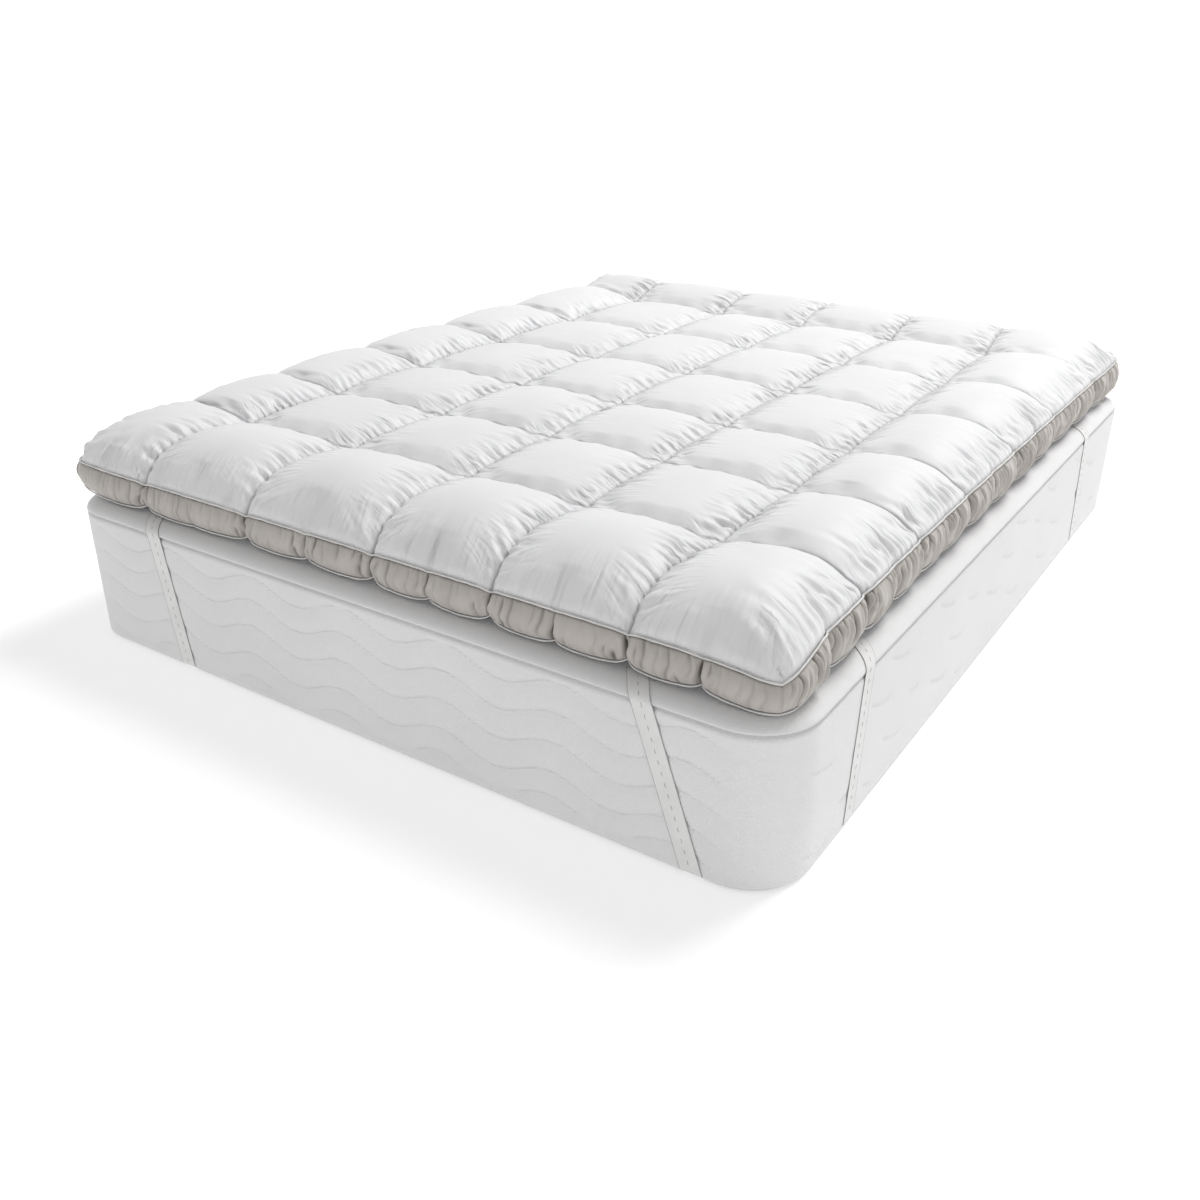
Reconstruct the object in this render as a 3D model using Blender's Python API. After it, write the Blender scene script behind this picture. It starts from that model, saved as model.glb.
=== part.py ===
"""Quilted mattress topper held on its mattress by four elastic corner straps.

Metres, +Z up. The origin is on the floor under the middle of the whole part. +X runs to the
right side of the bed and +Y runs from the front end to the back end.
"""
import math

import bmesh
import bpy
from mathutils import Vector

# ---------------------------------------------------------------- driving sizes

GAP = 0.0003                      # left between pieces that touch

MATTRESS_WIDTH = 1.600
MATTRESS_LENGTH = 2.000
MATTRESS_TOP = 0.288
MATTRESS_MIDDLE = Vector((0.028, -0.020))
MATTRESS_CORNER = 0.105           # radius of the four upright corners
CORNER_STEPS = 8
FOOT_RADIUS = 0.008               # bottom edge
FOOT_STEPS = 3
ROLL_INSET = 0.035                # how far the top roll curves in
ROLL_RISE = 0.018                 # how high it rises above its taped seam
ROLL_STEPS = 5
CREASE_DEPTH = 0.003              # the seam pulls the cloth in below the roll
CREASE_DROP = 0.008

TOPPER_WIDTH = 1.556              # between the left and right piping, at the front
TOPPER_LENGTH = 1.951
TOPPER_MIDDLE = Vector((0.013, -0.002))
EAR_CUT = 0.006                   # how far each corner is rounded off
EAR_LENGTH = 0.7                  # its lift or droop fades out within this share of a box

BOXES_ACROSS = 6
BOXES_ALONG = 7
STEPS = 8                         # faces across one quilted box

PIPING_LIFT = 0.005               # the top seam of the gusset rises this much over a puff
SCALLOP_DROP = 0.0095             # its bottom seam sags this much under a puff
RIM_PUFF = 0.006                  # both seams swell out this much at a puff
GUSSET_BULGE = 0.010              # the band swells past its seams at a puff
GUSSET_SLACK = 0.003              # and at a tuck
GUSSET_CLOTH = 0.0015
GUSSET_ROWS = (0.0, 0.3, 0.7, 1.0)  # shares of the way down the band
GUSSET_ROUNDNESS = 0.7            # below one, so the band's swelling is nearly upright
PUFF_ROUNDNESS = 0.5              # and its puffs are broad with narrow tucks
CORNER_FULLNESS = 0.55            # of a full puff, at the four corners
UNEVENNESS = 0.12                 # puffs are this much fuller or slacker than each other
UNEVEN_STEP = 1.9                 # how fast that changes from one box to the next
UNEVEN_DRIFT = 2.6                # and along one box
UNDERSIDE_RIM = 0.045             # width of the rim that lifts off the mattress

RIM_HEIGHT = 0.356                # the quilted top at the rim, on the whole
SEAM_HEIGHT = 0.388               # channels between the boxes, where they cross
SEAM_DOME = 0.012                 # the whole top is this much higher in the middle
SEAM_ARCH = 0.005                 # a channel is this much higher between its crossings
RIM_ARCHES_ACROSS = (0.018, 0.016)  # and this much beside the rim, at the left and the right
RIM_ARCHES_ALONG = (0.016, 0.036)   # and at the front and the back
CROWN_FULLNESS = 0.55             # below one, so the sides of a box are steep
RIM_FULLNESS = 0.40               # steeper still on the rim's side
RIM_ROUNDNESS = 6.0               # how steeply the channels rise from the rim
LEFT_ROUNDNESS = 14.0             # steeper still from the left rim, whose boxes are squarer

PIPING_RADIUS = 0.0025
LOWER_PIPING_RADIUS = 0.0020
PIPING_SIDES = 4

STRAP_WIDTH = 0.037
STRAP_THICKNESS = 0.0010
STRAP_LIFT = 0.0007               # its lowest face clears the floor by this much
STRAP_TUCK = 0.006                # its sewn end lies this far in from the topper's corners
STRAP_BEND = 0.0113               # it goes round the bottom edge on this curve
STRAP_BEND_ANGLES = (0, 10, 30, 50, 70, 90)
GROOVE_MARGIN = 0.0006            # room beside the strap, pressed into the underside
GROOVE_DEPTH = 0.0004             # room above it
GROOVE_OVERCUT = 0.0040           # the cutter reaches out of the cloth by this much

# Channels that run front to back, as distances from the left edge.
COLUMN_SEAMS = (
    # front, middle, back
    (0.000, 0.000, 0.000),
    (0.205, 0.197, 0.238),
    (0.488, 0.502, 0.526),
    (0.798, 0.766, 0.782),
    (1.050, 1.034, 1.036),
    (1.306, 1.302, 1.276),
    (TOPPER_WIDTH, TOPPER_WIDTH, TOPPER_WIDTH),
)

# Channels that run left to right, as distances from the front edge.
ROW_SEAMS = (
    # left, middle, right
    (0.000, 0.000, 0.000),
    (0.276, 0.279, 0.284),
    (0.518, 0.544, 0.536),
    (0.809, 0.809, 0.785),
    (1.110, 1.103, 1.085),
    (1.416, 1.410, 1.384),
    (1.764, 1.726, 1.722),
    (TOPPER_LENGTH, TOPPER_LENGTH, TOPPER_LENGTH),
)

# How high each box stands over its channels, in millimetres.
CROWNS = (
    # left to right, one row of boxes in each line, from the front to the back
    (30, 38, 39, 39, 39, 39),
    (34, 29, 29, 29, 29, 34),
    (34, 28, 28, 28, 28, 33),
    (34, 28, 28, 28, 28, 33),
    (34, 28, 28, 28, 28, 33),
    (34, 28, 28, 28, 28, 34),
    (26, 22, 22, 22, 22, 23),
)

# The four sides in the order of the rim, anticlockwise seen from above. Halfway along, a side is
# drawn in, or below zero bows out over the mattress's edge. The last column says how deep the
# extra tuck in the middle of each box is, from 0, none, to 1, as deep as a seam's.
SIDES = (
    # name, outward, along the rim, boxes, drawn in, extra tuck of each box
    ("front", (0, -1), (1, 0), BOXES_ACROSS, 0.002, (0.1, 0.3, 0.9, 0.8, 0.7, 1.0)),
    ("right", (1, 0), (0, 1), BOXES_ALONG, 0.011, (1.0, 0.9, 0.6, 0.8, 1.0, 0.7, 0.5)),
    ("back", (0, 1), (-1, 0), BOXES_ACROSS, -0.030, (0.8, 0.4, 0.9, 0.6, 0.8, 0.3)),
    ("left", (-1, 0), (0, -1), BOXES_ALONG, -0.045, (0.4, 0.9, 0.5, 0.8, 0.9, 0.3, 0.6)),
)
SIDE_BY_NAME = {side[0]: side for side in SIDES}

# Heights of the gusset's two seams at a tuck: first at the corner where each side starts, then
# all along that side. The corners are ears that lift or droop a little.
SEAM_HEIGHTS = {
    # side: top at its corner, bottom at its corner, top, bottom
    "front": (0.357, 0.313, 0.350, 0.304),
    "right": (0.338, 0.2985, 0.367, 0.307),
    "back": (0.376, 0.318, 0.362, 0.305),
    "left": (0.358, 0.308, 0.352, 0.305),
}

# Each strap is one band. Its two legs run down two neighbouring sides. A place is measured from
# the middle of the mattress, along +X on the front and back and along +Y on the right and left.
STRAPS = (
    # node, two legs: side, its places at its sewn end, at the roll's seam and at the foot
    ("strap_front_left", ("front", -0.567, -0.522, -0.476), ("left", -0.676, -0.726, -0.750)),
    ("strap_front_right", ("front", 0.528, 0.565, 0.663), ("right", -0.676, -0.726, -0.750)),
    ("strap_back_right", ("right", 0.650, 0.600, 0.640), ("back", 0.528, 0.558, 0.600)),
    ("strap_back_left", ("left", 0.664, 0.706, 0.743), ("back", -0.567, -0.594, -0.640)),
)

MATERIALS = {
    # name: base colour, roughness
    "down_proof_cotton": ((0.86, 0.86, 0.87), 0.55),
    "gusset_cotton": ((0.40, 0.375, 0.34), 0.65),
    "piping_cotton": ((0.78, 0.76, 0.73), 0.60),
    "woven_elastic": ((0.80, 0.79, 0.78), 0.75),
    "mattress_knit": ((0.80, 0.79, 0.79), 0.85),
}


# ---------------------------------------------------------------- scene helpers

def clear_scene():
    for obj in list(bpy.data.objects):
        bpy.data.objects.remove(obj, do_unlink=True)


def material(name):
    found = bpy.data.materials.get(name)
    if found:
        return found
    colour, roughness = MATERIALS[name]
    made = bpy.data.materials.new(name)
    made.use_nodes = True
    shader = made.node_tree.nodes["Principled BSDF"]
    shader.inputs["Base Color"].default_value = (*colour, 1.0)
    shader.inputs["Roughness"].default_value = roughness
    shader.inputs["Metallic"].default_value = 0.0
    return made


def add_object(name, bm, material_name, crease_angle=40):
    """Turn a finished bmesh into a named object that is shaded smooth up to an angle."""
    bmesh.ops.recalc_face_normals(bm, faces=bm.faces)
    mesh = bpy.data.meshes.new(name)
    bm.to_mesh(mesh)
    bm.free()
    mesh.materials.append(material(material_name))
    mesh.shade_smooth()
    mesh.set_sharp_from_angle(angle=math.radians(crease_angle))
    obj = bpy.data.objects.new(name, mesh)
    bpy.context.scene.collection.objects.link(obj)
    return obj


def bridge(bm, first, second):
    """Join two rings of vertices with a band of four-sided faces."""
    for k in range(len(first)):
        bm.faces.new((first[k - 1], first[k], second[k], second[k - 1]))


def bridge_in_triangles(bm, first, second, turned_from=None):
    """The same band with its twisted faces split, so that cloth and what lies behind it agree.

    From one place of the ring on, the faces are split the other way.
    """
    for k in range(len(first)):
        corners = [first[k - 1], first[k], second[k], second[k - 1]]
        if turned_from and k >= turned_from:
            corners = corners[1:] + corners[:1]
        bm.faces.new(corners[:3])
        bm.faces.new((corners[0], corners[2], corners[3]))


# ---------------------------------------------------------------- shape of the topper

def along(places, share):
    """A smooth line through three places, at the start, the middle and the end."""
    start, middle, end = places
    return (start * (1 - share) * (1 - 2 * share)
            + middle * 4 * share * (1 - share)
            + end * share * (2 * share - 1))


def between(lines, place, share):
    """Where a line lies that is part way between two neighbouring seams of a table."""
    lower = min(int(place), len(lines) - 2)
    part = place - lower
    return along(lines[lower], share) * (1 - part) + along(lines[lower + 1], share) * part


def arch(share):
    """Zero at both ends of a stretch and one in its middle."""
    return 4 * share * (1 - share)


def drawn_in(name, share, boxes_from_rim):
    """How far one side moves in, fading out over the boxes beside it. Below zero it bows out."""
    return SIDE_BY_NAME[name][4] * arch(share) * max(0, 1 - boxes_from_rim)


def quilt_place(column, row):
    """Plan position of a point of the quilt, counted in boxes from the front left corner."""
    corner = TOPPER_MIDDLE - Vector((TOPPER_WIDTH, TOPPER_LENGTH)) / 2
    across = column / BOXES_ACROSS
    lengthways = row / BOXES_ALONG
    x = between(COLUMN_SEAMS, column, lengthways)
    x += drawn_in("left", lengthways, column)
    x -= drawn_in("right", lengthways, BOXES_ACROSS - column)
    y = between(ROW_SEAMS, row, across)
    y += drawn_in("front", across, row)
    y -= drawn_in("back", across, BOXES_ALONG - row)
    return corner + Vector((x, y))


def swell(place, boxes):
    """How full a box is along one way: zero on its channels and one in its middle."""
    beside_rim = min(place, boxes - place) < 0.5
    return arch(place % 1) ** (RIM_FULLNESS if beside_rim else CROWN_FULLNESS)


def channel_arch(place, boxes, rim_arches):
    """How far a channel bows up between two crossings, or between the rim and a crossing."""
    from_rim = min(place, boxes - place)
    if from_rim >= 1:
        return SEAM_ARCH * arch(place % 1)
    highest_at_a_third = 1.5 * math.sqrt(3 * from_rim) * (1 - from_rim)
    return rim_arches[place > boxes / 2] * highest_at_a_third


def quilt_height(column, row):
    """Height of the quilted top, with its channels, its crowns and its fall to the rim."""
    from_end = min(row, BOXES_ALONG - row, 1)
    from_rest = min(BOXES_ACROSS - column, from_end)
    rise = min(1 - (1 - min(column, 1)) ** LEFT_ROUNDNESS, 1 - (1 - from_rest) ** RIM_ROUNDNESS)
    dome = arch(column / BOXES_ACROSS) * arch(row / BOXES_ALONG)
    channel = RIM_HEIGHT + (SEAM_HEIGHT + SEAM_DOME * dome - RIM_HEIGHT) * rise
    channel += rise * max(channel_arch(column, BOXES_ACROSS, RIM_ARCHES_ACROSS),
                          channel_arch(row, BOXES_ALONG, RIM_ARCHES_ALONG))
    crown = CROWNS[min(int(row), BOXES_ALONG - 1)][min(int(column), BOXES_ACROSS - 1)] / 1000
    return channel + crown * swell(column, BOXES_ACROSS) * swell(row, BOXES_ALONG)


def fullness(step, extra_tucks):
    """How far the band is puffed out at a step along its side: 0 at a seam, 1 at a full puff."""
    if step == 0:
        return CORNER_FULLNESS
    box, part = divmod(step, STEPS)
    share = part / STEPS
    one_puff = math.sin(math.pi * share) ** PUFF_ROUNDNESS
    two_puffs = abs(math.sin(2 * math.pi * share)) ** PUFF_ROUNDNESS
    tuck = extra_tucks[box]
    wave = math.sin(UNEVEN_STEP * box + UNEVEN_DRIFT * share + len(extra_tucks))
    return (one_puff * (1 - tuck) + two_puffs * tuck) * (1 + UNEVENNESS * wave)


def seam_heights(name, boxes_from_start, boxes):
    """Heights of the gusset's top and bottom seam at a tuck, blended into both corners."""
    names = list(SEAM_HEIGHTS)
    following = names[(names.index(name) + 1) % len(names)]
    start = SEAM_HEIGHTS[name][:2]
    end = SEAM_HEIGHTS[following][:2]
    near_start = max(0, 1 - boxes_from_start / EAR_LENGTH) ** 2
    near_end = max(0, 1 - (boxes - boxes_from_start) / EAR_LENGTH) ** 2
    return [level + (first - level) * near_start + (last - level) * near_end
            for first, last, level in zip(start, end, SEAM_HEIGHTS[name][2:])]


def rim_points():
    """The rim, one entry for each step along it: plan place, fullness and box counts."""
    points = []
    columns = BOXES_ACROSS * STEPS
    rows = BOXES_ALONG * STEPS
    starts = ((0, 0), (columns, 0), (columns, rows), (0, rows))
    for (name, outward, direction, boxes, _, tucks), start in zip(SIDES, starts):
        for step in range(boxes * STEPS):
            column = start[0] + direction[0] * step
            row = start[1] + direction[1] * step
            place = quilt_place(column / STEPS, row / STEPS)
            full = fullness(step, tucks)
            if step:
                place += Vector(outward) * RIM_PUFF * full
            else:
                inward = Vector((0.5 - (start[0] > 0), 0.5 - (start[1] > 0)))
                place += inward * 2 * EAR_CUT
            top, bottom = seam_heights(name, step / STEPS, boxes)
            points.append({"place": place, "full": full, "column": column, "row": row,
                           "side": name, "top": top + PIPING_LIFT * full,
                           "bottom": bottom - SCALLOP_DROP * full})
    return points


def add_offsets(points):
    """Give each rim point the vector that moves it one metre outwards, mitred at bends."""
    count = len(points)
    for k, point in enumerate(points):
        before = point["place"] - points[k - 1]["place"]
        after = points[(k + 1) % count]["place"] - point["place"]
        first = Vector((before.y, -before.x)).normalized()
        second = Vector((after.y, -after.x)).normalized()
        point["outward"] = (first + second) / (1 + first.dot(second))
        point["bulge"] = GUSSET_SLACK + GUSSET_BULGE * point["full"]


def rim_vertex(bm, point, outwards, height):
    place = point["place"] + point["outward"] * outwards
    return bm.verts.new((place.x, place.y, height))


def gusset_row(point, share):
    """Height and bulge of the band, from its top seam, share 0, to its bottom seam, share 1."""
    upper = point["top"] - PIPING_RADIUS - 2 * GAP
    lower = point["bottom"] + LOWER_PIPING_RADIUS + 2 * GAP
    swelling = point["bulge"] * math.sin(math.pi * share) ** GUSSET_ROUNDNESS
    return upper + (lower - upper) * share, swelling


# ---------------------------------------------------------------- topper pieces

def build_topper_body(rim):
    """One filled solid: the quilted top, the sides behind the gusset and the flat underside."""
    columns = BOXES_ACROSS * STEPS
    rows = BOXES_ALONG * STEPS
    bm = bmesh.new()
    bmesh.ops.create_grid(bm, x_segments=columns, y_segments=rows, size=1)
    bm.verts.ensure_lookup_table()
    grid = {}
    for vertex in bm.verts:
        column = round((vertex.co.x + 1) / 2 * columns)
        row = round((vertex.co.y + 1) / 2 * rows)
        grid[column, row] = vertex
    for (column, row), vertex in grid.items():
        place = quilt_place(column / STEPS, row / STEPS)
        height = quilt_height(column / STEPS, row / STEPS)
        vertex.co = (place.x, place.y, height)
    for point in rim:
        vertex = grid[point["column"], point["row"]]
        vertex.co = (point["place"].x, point["place"].y, point["top"])

    ring = [grid[point["column"], point["row"]] for point in rim]
    for share in GUSSET_ROWS:
        row = []
        for point in rim:
            height, swelling = gusset_row(point, share)
            row.append(rim_vertex(bm, point, swelling, height))
        bridge_in_triangles(bm, ring, row)
        ring = row
    lower_rim = [rim_vertex(bm, point, 0, point["bottom"]) for point in rim]
    bridge_in_triangles(bm, ring, lower_rim)
    flat = MATTRESS_TOP + GAP
    flat_rim = [rim_vertex(bm, point, -UNDERSIDE_RIM, flat) for point in rim]
    bridge_in_triangles(bm, lower_rim, flat_rim)
    bm.faces.new(flat_rim)
    return add_object("topper_body", bm, "down_proof_cotton", crease_angle=75)


def build_gusset(rim, name):
    """One side's band of cloth, from corner to corner, puffed out between its tucks."""
    count = len(rim)
    first = next(k for k, point in enumerate(rim) if point["side"] == name)
    boxes = SIDE_BY_NAME[name][3]
    direction = Vector(SIDE_BY_NAME[name][2])
    bm = bmesh.new()
    sections = []
    for step in range(boxes * STEPS + 1):
        point = rim[(first + step) % count]
        corner_gap = {0: GAP, boxes * STEPS: -GAP}.get(step, 0)
        section = []
        for outwards, shares in ((GAP, GUSSET_ROWS),
                                 (GAP + GUSSET_CLOTH, reversed(GUSSET_ROWS))):
            for share in shares:
                height, swelling = gusset_row(point, share)
                vertex = rim_vertex(bm, point, swelling + outwards, height)
                vertex.co += (direction * corner_gap).to_3d()
                section.append(vertex)
        sections.append(section)
    for before, after in zip(sections, sections[1:]):
        bridge_in_triangles(bm, before, after, turned_from=len(GUSSET_ROWS))
    bm.faces.new(sections[0])
    bm.faces.new(sections[-1])
    return add_object(f"gusset_{name}", bm, "gusset_cotton", crease_angle=60)


def build_piping(rim, name, level, radius):
    """A covered cord that lies all round the rim in a seam of the gusset."""
    outwards = radius + 2 * GAP
    bm = bmesh.new()
    sections = []
    for point in rim:
        section = []
        for side in range(PIPING_SIDES):
            angle = 2 * math.pi * side / PIPING_SIDES
            height = point[level] + radius * math.sin(angle)
            section.append(rim_vertex(bm, point, outwards + radius * math.cos(angle), height))
        sections.append(section)
    for k, section in enumerate(sections):
        bridge(bm, section, sections[(k + 1) % len(sections)])
    return add_object(name, bm, "piping_cotton", crease_angle=100)


# ---------------------------------------------------------------- straps

def mattress_half(name):
    return (MATTRESS_LENGTH if name in ("front", "back") else MATTRESS_WIDTH) / 2


def rim_inset(name):
    """How far the topper's rim lies in from the mattress's face on one side."""
    outward = Vector(SIDE_BY_NAME[name][1])
    topper_half = (TOPPER_LENGTH if name in ("front", "back") else TOPPER_WIDTH) / 2
    return mattress_half(name) - topper_half - (TOPPER_MIDDLE - MATTRESS_MIDDLE).dot(outward)


def roll_point(angle, lift=0.0):
    """A point of the top roll's curve, as its inset from the face and its height."""
    inset = ROLL_INSET - (ROLL_INSET + lift) * math.cos(angle)
    return Vector((inset, MATTRESS_TOP - ROLL_RISE + (ROLL_RISE + lift) * math.sin(angle)))


def taut(path):
    """Leave out the points that a tight band spans, so that it only bends outwards."""
    kept = []
    for point in path:
        while len(kept) > 1:
            before = kept[-1] - kept[-2]
            after = point - kept[-1]
            if before.x * after.y - before.y * after.x > 0:
                break
            kept.pop()
        kept.append(point)
    return kept


def foot_point(degrees):
    """Middle of the strap where it goes round the bottom edge, from the face, 0, to under it."""
    angle = math.radians(degrees)
    out = GAP + STRAP_THICKNESS / 2
    low = STRAP_LIFT + STRAP_THICKNESS / 2
    inset = STRAP_BEND - (STRAP_BEND + out) * math.cos(angle)
    return Vector((inset, STRAP_BEND + low - STRAP_BEND * math.sin(angle)))


def leg_path(name):
    """Middle of the strap down one side, from its sewn end to just under the mattress."""
    out = GAP + STRAP_THICKNESS / 2
    path = [Vector((rim_inset(name) + STRAP_TUCK, MATTRESS_TOP + out))]
    for step in range(ROLL_STEPS, -1, -1):
        point = roll_point(math.pi / 2 * step / ROLL_STEPS, out)
        if point.x < path[0].x:
            path.append(point)
    path = taut(path)
    return path + [foot_point(degrees) for degrees in STRAP_BEND_ANGLES]


def groove_path(_):
    """Middle of the strap where it is pressed into the foot, the same on every side.

    It is led out of the cloth at its start.
    """
    bend = [foot_point(degrees) for degrees in STRAP_BEND_ANGLES[1:]]
    lead_out = (bend[0] - bend[1]).normalized() * GROOVE_OVERCUT
    return [bend[0] + lead_out] + bend


def path_normals(path):
    """Vectors that point away from the mattress, mitred where the path bends."""
    normals = []
    for k, point in enumerate(path):
        before = (path[max(k, 1)] - path[max(k, 1) - 1]).normalized()
        last = len(path) - 1
        after = (path[min(k, last - 1) + 1] - path[min(k, last - 1)]).normalized()
        first = Vector((before.y, -before.x))
        second = Vector((after.y, -after.x))
        normals.append((first + second) / (1 + first.dot(second)))
    return normals


def side_place(name, inset, lateral):
    """Plan position at an inset from a face of the mattress and a place along it."""
    outward = Vector(SIDE_BY_NAME[name][1])
    tangent = Vector((abs(outward.y), abs(outward.x)))
    return MATTRESS_MIDDLE + outward * (mattress_half(name) - inset) + tangent * lateral


def crossing(first_point, first_direction, second_point, second_direction):
    """Where two lines in the plan cross."""
    offset = second_point - first_point
    divisor = first_direction.x * second_direction.y - first_direction.y * second_direction.x
    share = (offset.x * second_direction.y - offset.y * second_direction.x) / divisor
    return first_point + first_direction * share


def leg_edges(leg, other_side, path, width):
    """Both edges of a leg at each point of its path, and the way they go on underneath.

    The first edge is the one nearer the corner of the mattress.
    """
    side, sewn_place, seam_place, foot_place = leg
    seam_height = MATTRESS_TOP - ROLL_RISE
    over_roll, down_face = 0, 0
    whole = leg_path(side)
    for before, after in zip(whole, whole[1:]):
        if before.y + after.y > 2 * seam_height:
            over_roll += (after - before).length
        else:
            down_face += (after - before).length
    roll_slant = (seam_place - sewn_place) / over_roll
    slant = (foot_place - seam_place) / down_face
    to_corner = width / 2 * math.sqrt(1 + slant ** 2) * sum(SIDE_BY_NAME[other_side][1])
    edges = []
    following = path[-1]
    lateral = foot_place
    for point in reversed(path):
        on_roll = point.y + following.y > 2 * seam_height
        lateral -= (roll_slant if on_roll else slant) * (following - point).length
        following = point
        edges.append([side_place(side, point.x, lateral + to_corner),
                      side_place(side, point.x, lateral - to_corner)])
    onwards = side_place(side, 1, slant) - side_place(side, 0, 0)
    return edges[::-1], onwards


def strap_section(bm, edges, inwards, height, normal, faces):
    """The four corners across a band, whose inner and outer face lie off its middle."""
    corners = []
    for edge, face in ((0, 0), (1, 0), (1, 1), (0, 1)):
        place = edges[edge] + inwards * normal.x * faces[face]
        corners.append(bm.verts.new((place.x, place.y, height + normal.y * faces[face])))
    return corners


def strap_solid(row, path_of, width, faces):
    """A flat band along both legs of a strap, mitred where they meet under the mattress."""
    _, first_leg, second_leg = row
    bm = bmesh.new()
    halves = []
    for leg, other_leg in ((first_leg, second_leg), (second_leg, first_leg)):
        path = path_of(leg[0])
        edges, onwards = leg_edges(leg, other_leg[0], path, width)
        inwards = -Vector(SIDE_BY_NAME[leg[0]][1])
        sections = [strap_section(bm, pair, inwards, point.y, normal, faces)
                    for pair, point, normal in zip(edges, path, path_normals(path))]
        halves.append((sections, edges[-1], onwards))
    (first, first_ends, first_way), (second, second_ends, second_way) = halves
    mitre = [crossing(first_end, first_way, second_end, second_way)
             for first_end, second_end in zip(first_ends, second_ends)]
    straight_down = Vector((0, -1))
    under = strap_section(bm, mitre, inwards, path[-1].y, straight_down, faces)
    chain = first + [under] + second[::-1]
    for before, after in zip(chain, chain[1:]):
        bridge(bm, before, after)
    bm.faces.new(chain[0])
    bm.faces.new(chain[-1])
    return bm


def build_strap(row):
    bm = strap_solid(row, leg_path, STRAP_WIDTH, (-STRAP_THICKNESS / 2, STRAP_THICKNESS / 2))
    return add_object(row[0], bm, "woven_elastic")


def build_groove_cutter(row):
    """What a strap presses out of the mattress's foot."""
    faces = (-STRAP_THICKNESS / 2 - GROOVE_DEPTH, GROOVE_OVERCUT)
    bm = strap_solid(row, groove_path, STRAP_WIDTH + 2 * GROOVE_MARGIN, faces)
    cutter = add_object(f"{row[0]}_groove", bm, "mattress_knit")
    cutter.hide_render = True
    cutter.display_type = 'WIRE'
    return cutter


# ---------------------------------------------------------------- mattress

def mattress_profile():
    """From the underside to the flat top, as insets from the face and heights."""
    profile = []
    for step in range(FOOT_STEPS + 1):
        angle = math.pi / 2 * step / FOOT_STEPS
        profile.append(Vector((FOOT_RADIUS * (1 - math.sin(angle)),
                               FOOT_RADIUS * (1 - math.cos(angle)))))
    seam = MATTRESS_TOP - ROLL_RISE
    profile.append(Vector((0, seam - 2 * CREASE_DROP)))
    profile.append(Vector((CREASE_DEPTH, seam - CREASE_DROP)))
    profile += [roll_point(math.pi / 2 * step / ROLL_STEPS) for step in range(ROLL_STEPS + 1)]
    return profile


def build_mattress():
    """A block with rounded upright corners, a soft foot and a roll over its taped seam."""
    bm = bmesh.new()
    rings = []
    for inset, height in mattress_profile():
        ring = []
        for quarter, (x_sign, y_sign) in enumerate(((1, 1), (-1, 1), (-1, -1), (1, -1))):
            middle = MATTRESS_MIDDLE + Vector((x_sign * (MATTRESS_WIDTH / 2 - MATTRESS_CORNER),
                                               y_sign * (MATTRESS_LENGTH / 2 - MATTRESS_CORNER)))
            for step in range(CORNER_STEPS + 1):
                angle = math.pi / 2 * (quarter + step / CORNER_STEPS)
                spoke = Vector((math.cos(angle), math.sin(angle)))
                place = middle + spoke * (MATTRESS_CORNER - inset)
                ring.append(bm.verts.new((place.x, place.y, height)))
        rings.append(ring)
    for lower, upper in zip(rings, rings[1:]):
        bridge(bm, lower, upper)
    bm.faces.new(rings[0])
    bm.faces.new(rings[-1])
    mattress = add_object("mattress", bm, "mattress_knit")
    for row in STRAPS:
        groove = mattress.modifiers.new(f"{row[0]}_groove", 'BOOLEAN')
        groove.operation = 'DIFFERENCE'
        groove.solver = 'EXACT'
        groove.object = build_groove_cutter(row)
    return mattress


# ---------------------------------------------------------------- the whole part

def build_part():
    clear_scene()
    build_mattress()
    rim = rim_points()
    add_offsets(rim)
    build_topper_body(rim)
    for side in SIDES:
        build_gusset(rim, side[0])
    build_piping(rim, "piping_top", "top", PIPING_RADIUS)
    build_piping(rim, "piping_bottom", "bottom", LOWER_PIPING_RADIUS)
    for row in STRAPS:
        build_strap(row)


build_part()
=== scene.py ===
# %% [markdown]
# # A quilted mattress topper, strapped to its mattress
# The real topper is a bag of white down-proof cotton, sewn into 6 by 7 boxes and filled with
# down. A gathered grey band runs round its sides between two white pipings, and an elastic
# strap at each corner goes under the mattress. This lesson dresses the plain solids of that
# part: every piece of cloth gets a fine mesh of its own, in the place that its solid holds.

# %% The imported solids
import math

import bpy
import mathutils
import numpy as np
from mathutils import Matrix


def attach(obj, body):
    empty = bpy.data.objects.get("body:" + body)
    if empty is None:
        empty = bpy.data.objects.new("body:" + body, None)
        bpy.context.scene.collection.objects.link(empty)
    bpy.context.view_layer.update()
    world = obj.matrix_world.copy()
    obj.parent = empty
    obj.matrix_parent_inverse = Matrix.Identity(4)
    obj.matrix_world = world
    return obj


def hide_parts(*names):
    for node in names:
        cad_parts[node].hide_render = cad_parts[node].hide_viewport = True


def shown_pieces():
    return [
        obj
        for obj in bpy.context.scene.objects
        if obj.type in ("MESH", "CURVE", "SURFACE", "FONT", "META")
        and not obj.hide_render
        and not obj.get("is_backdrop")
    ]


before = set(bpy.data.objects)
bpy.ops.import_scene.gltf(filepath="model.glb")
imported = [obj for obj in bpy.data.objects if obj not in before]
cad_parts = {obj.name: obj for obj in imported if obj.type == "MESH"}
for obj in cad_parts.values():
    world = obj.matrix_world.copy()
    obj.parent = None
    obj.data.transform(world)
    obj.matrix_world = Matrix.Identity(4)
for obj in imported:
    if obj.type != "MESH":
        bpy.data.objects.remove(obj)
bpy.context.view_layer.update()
rng = np.random.default_rng(29)
print("solids:", sorted(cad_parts))

# %% [markdown]
# ## Camera
# The photograph looks down on the near corner from a little above the bed, with a lens that
# makes the back end clearly smaller. These numbers were fitted to the corners of the mattress
# and to the seams of the quilt, so every other size can be compared with the photograph.

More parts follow.
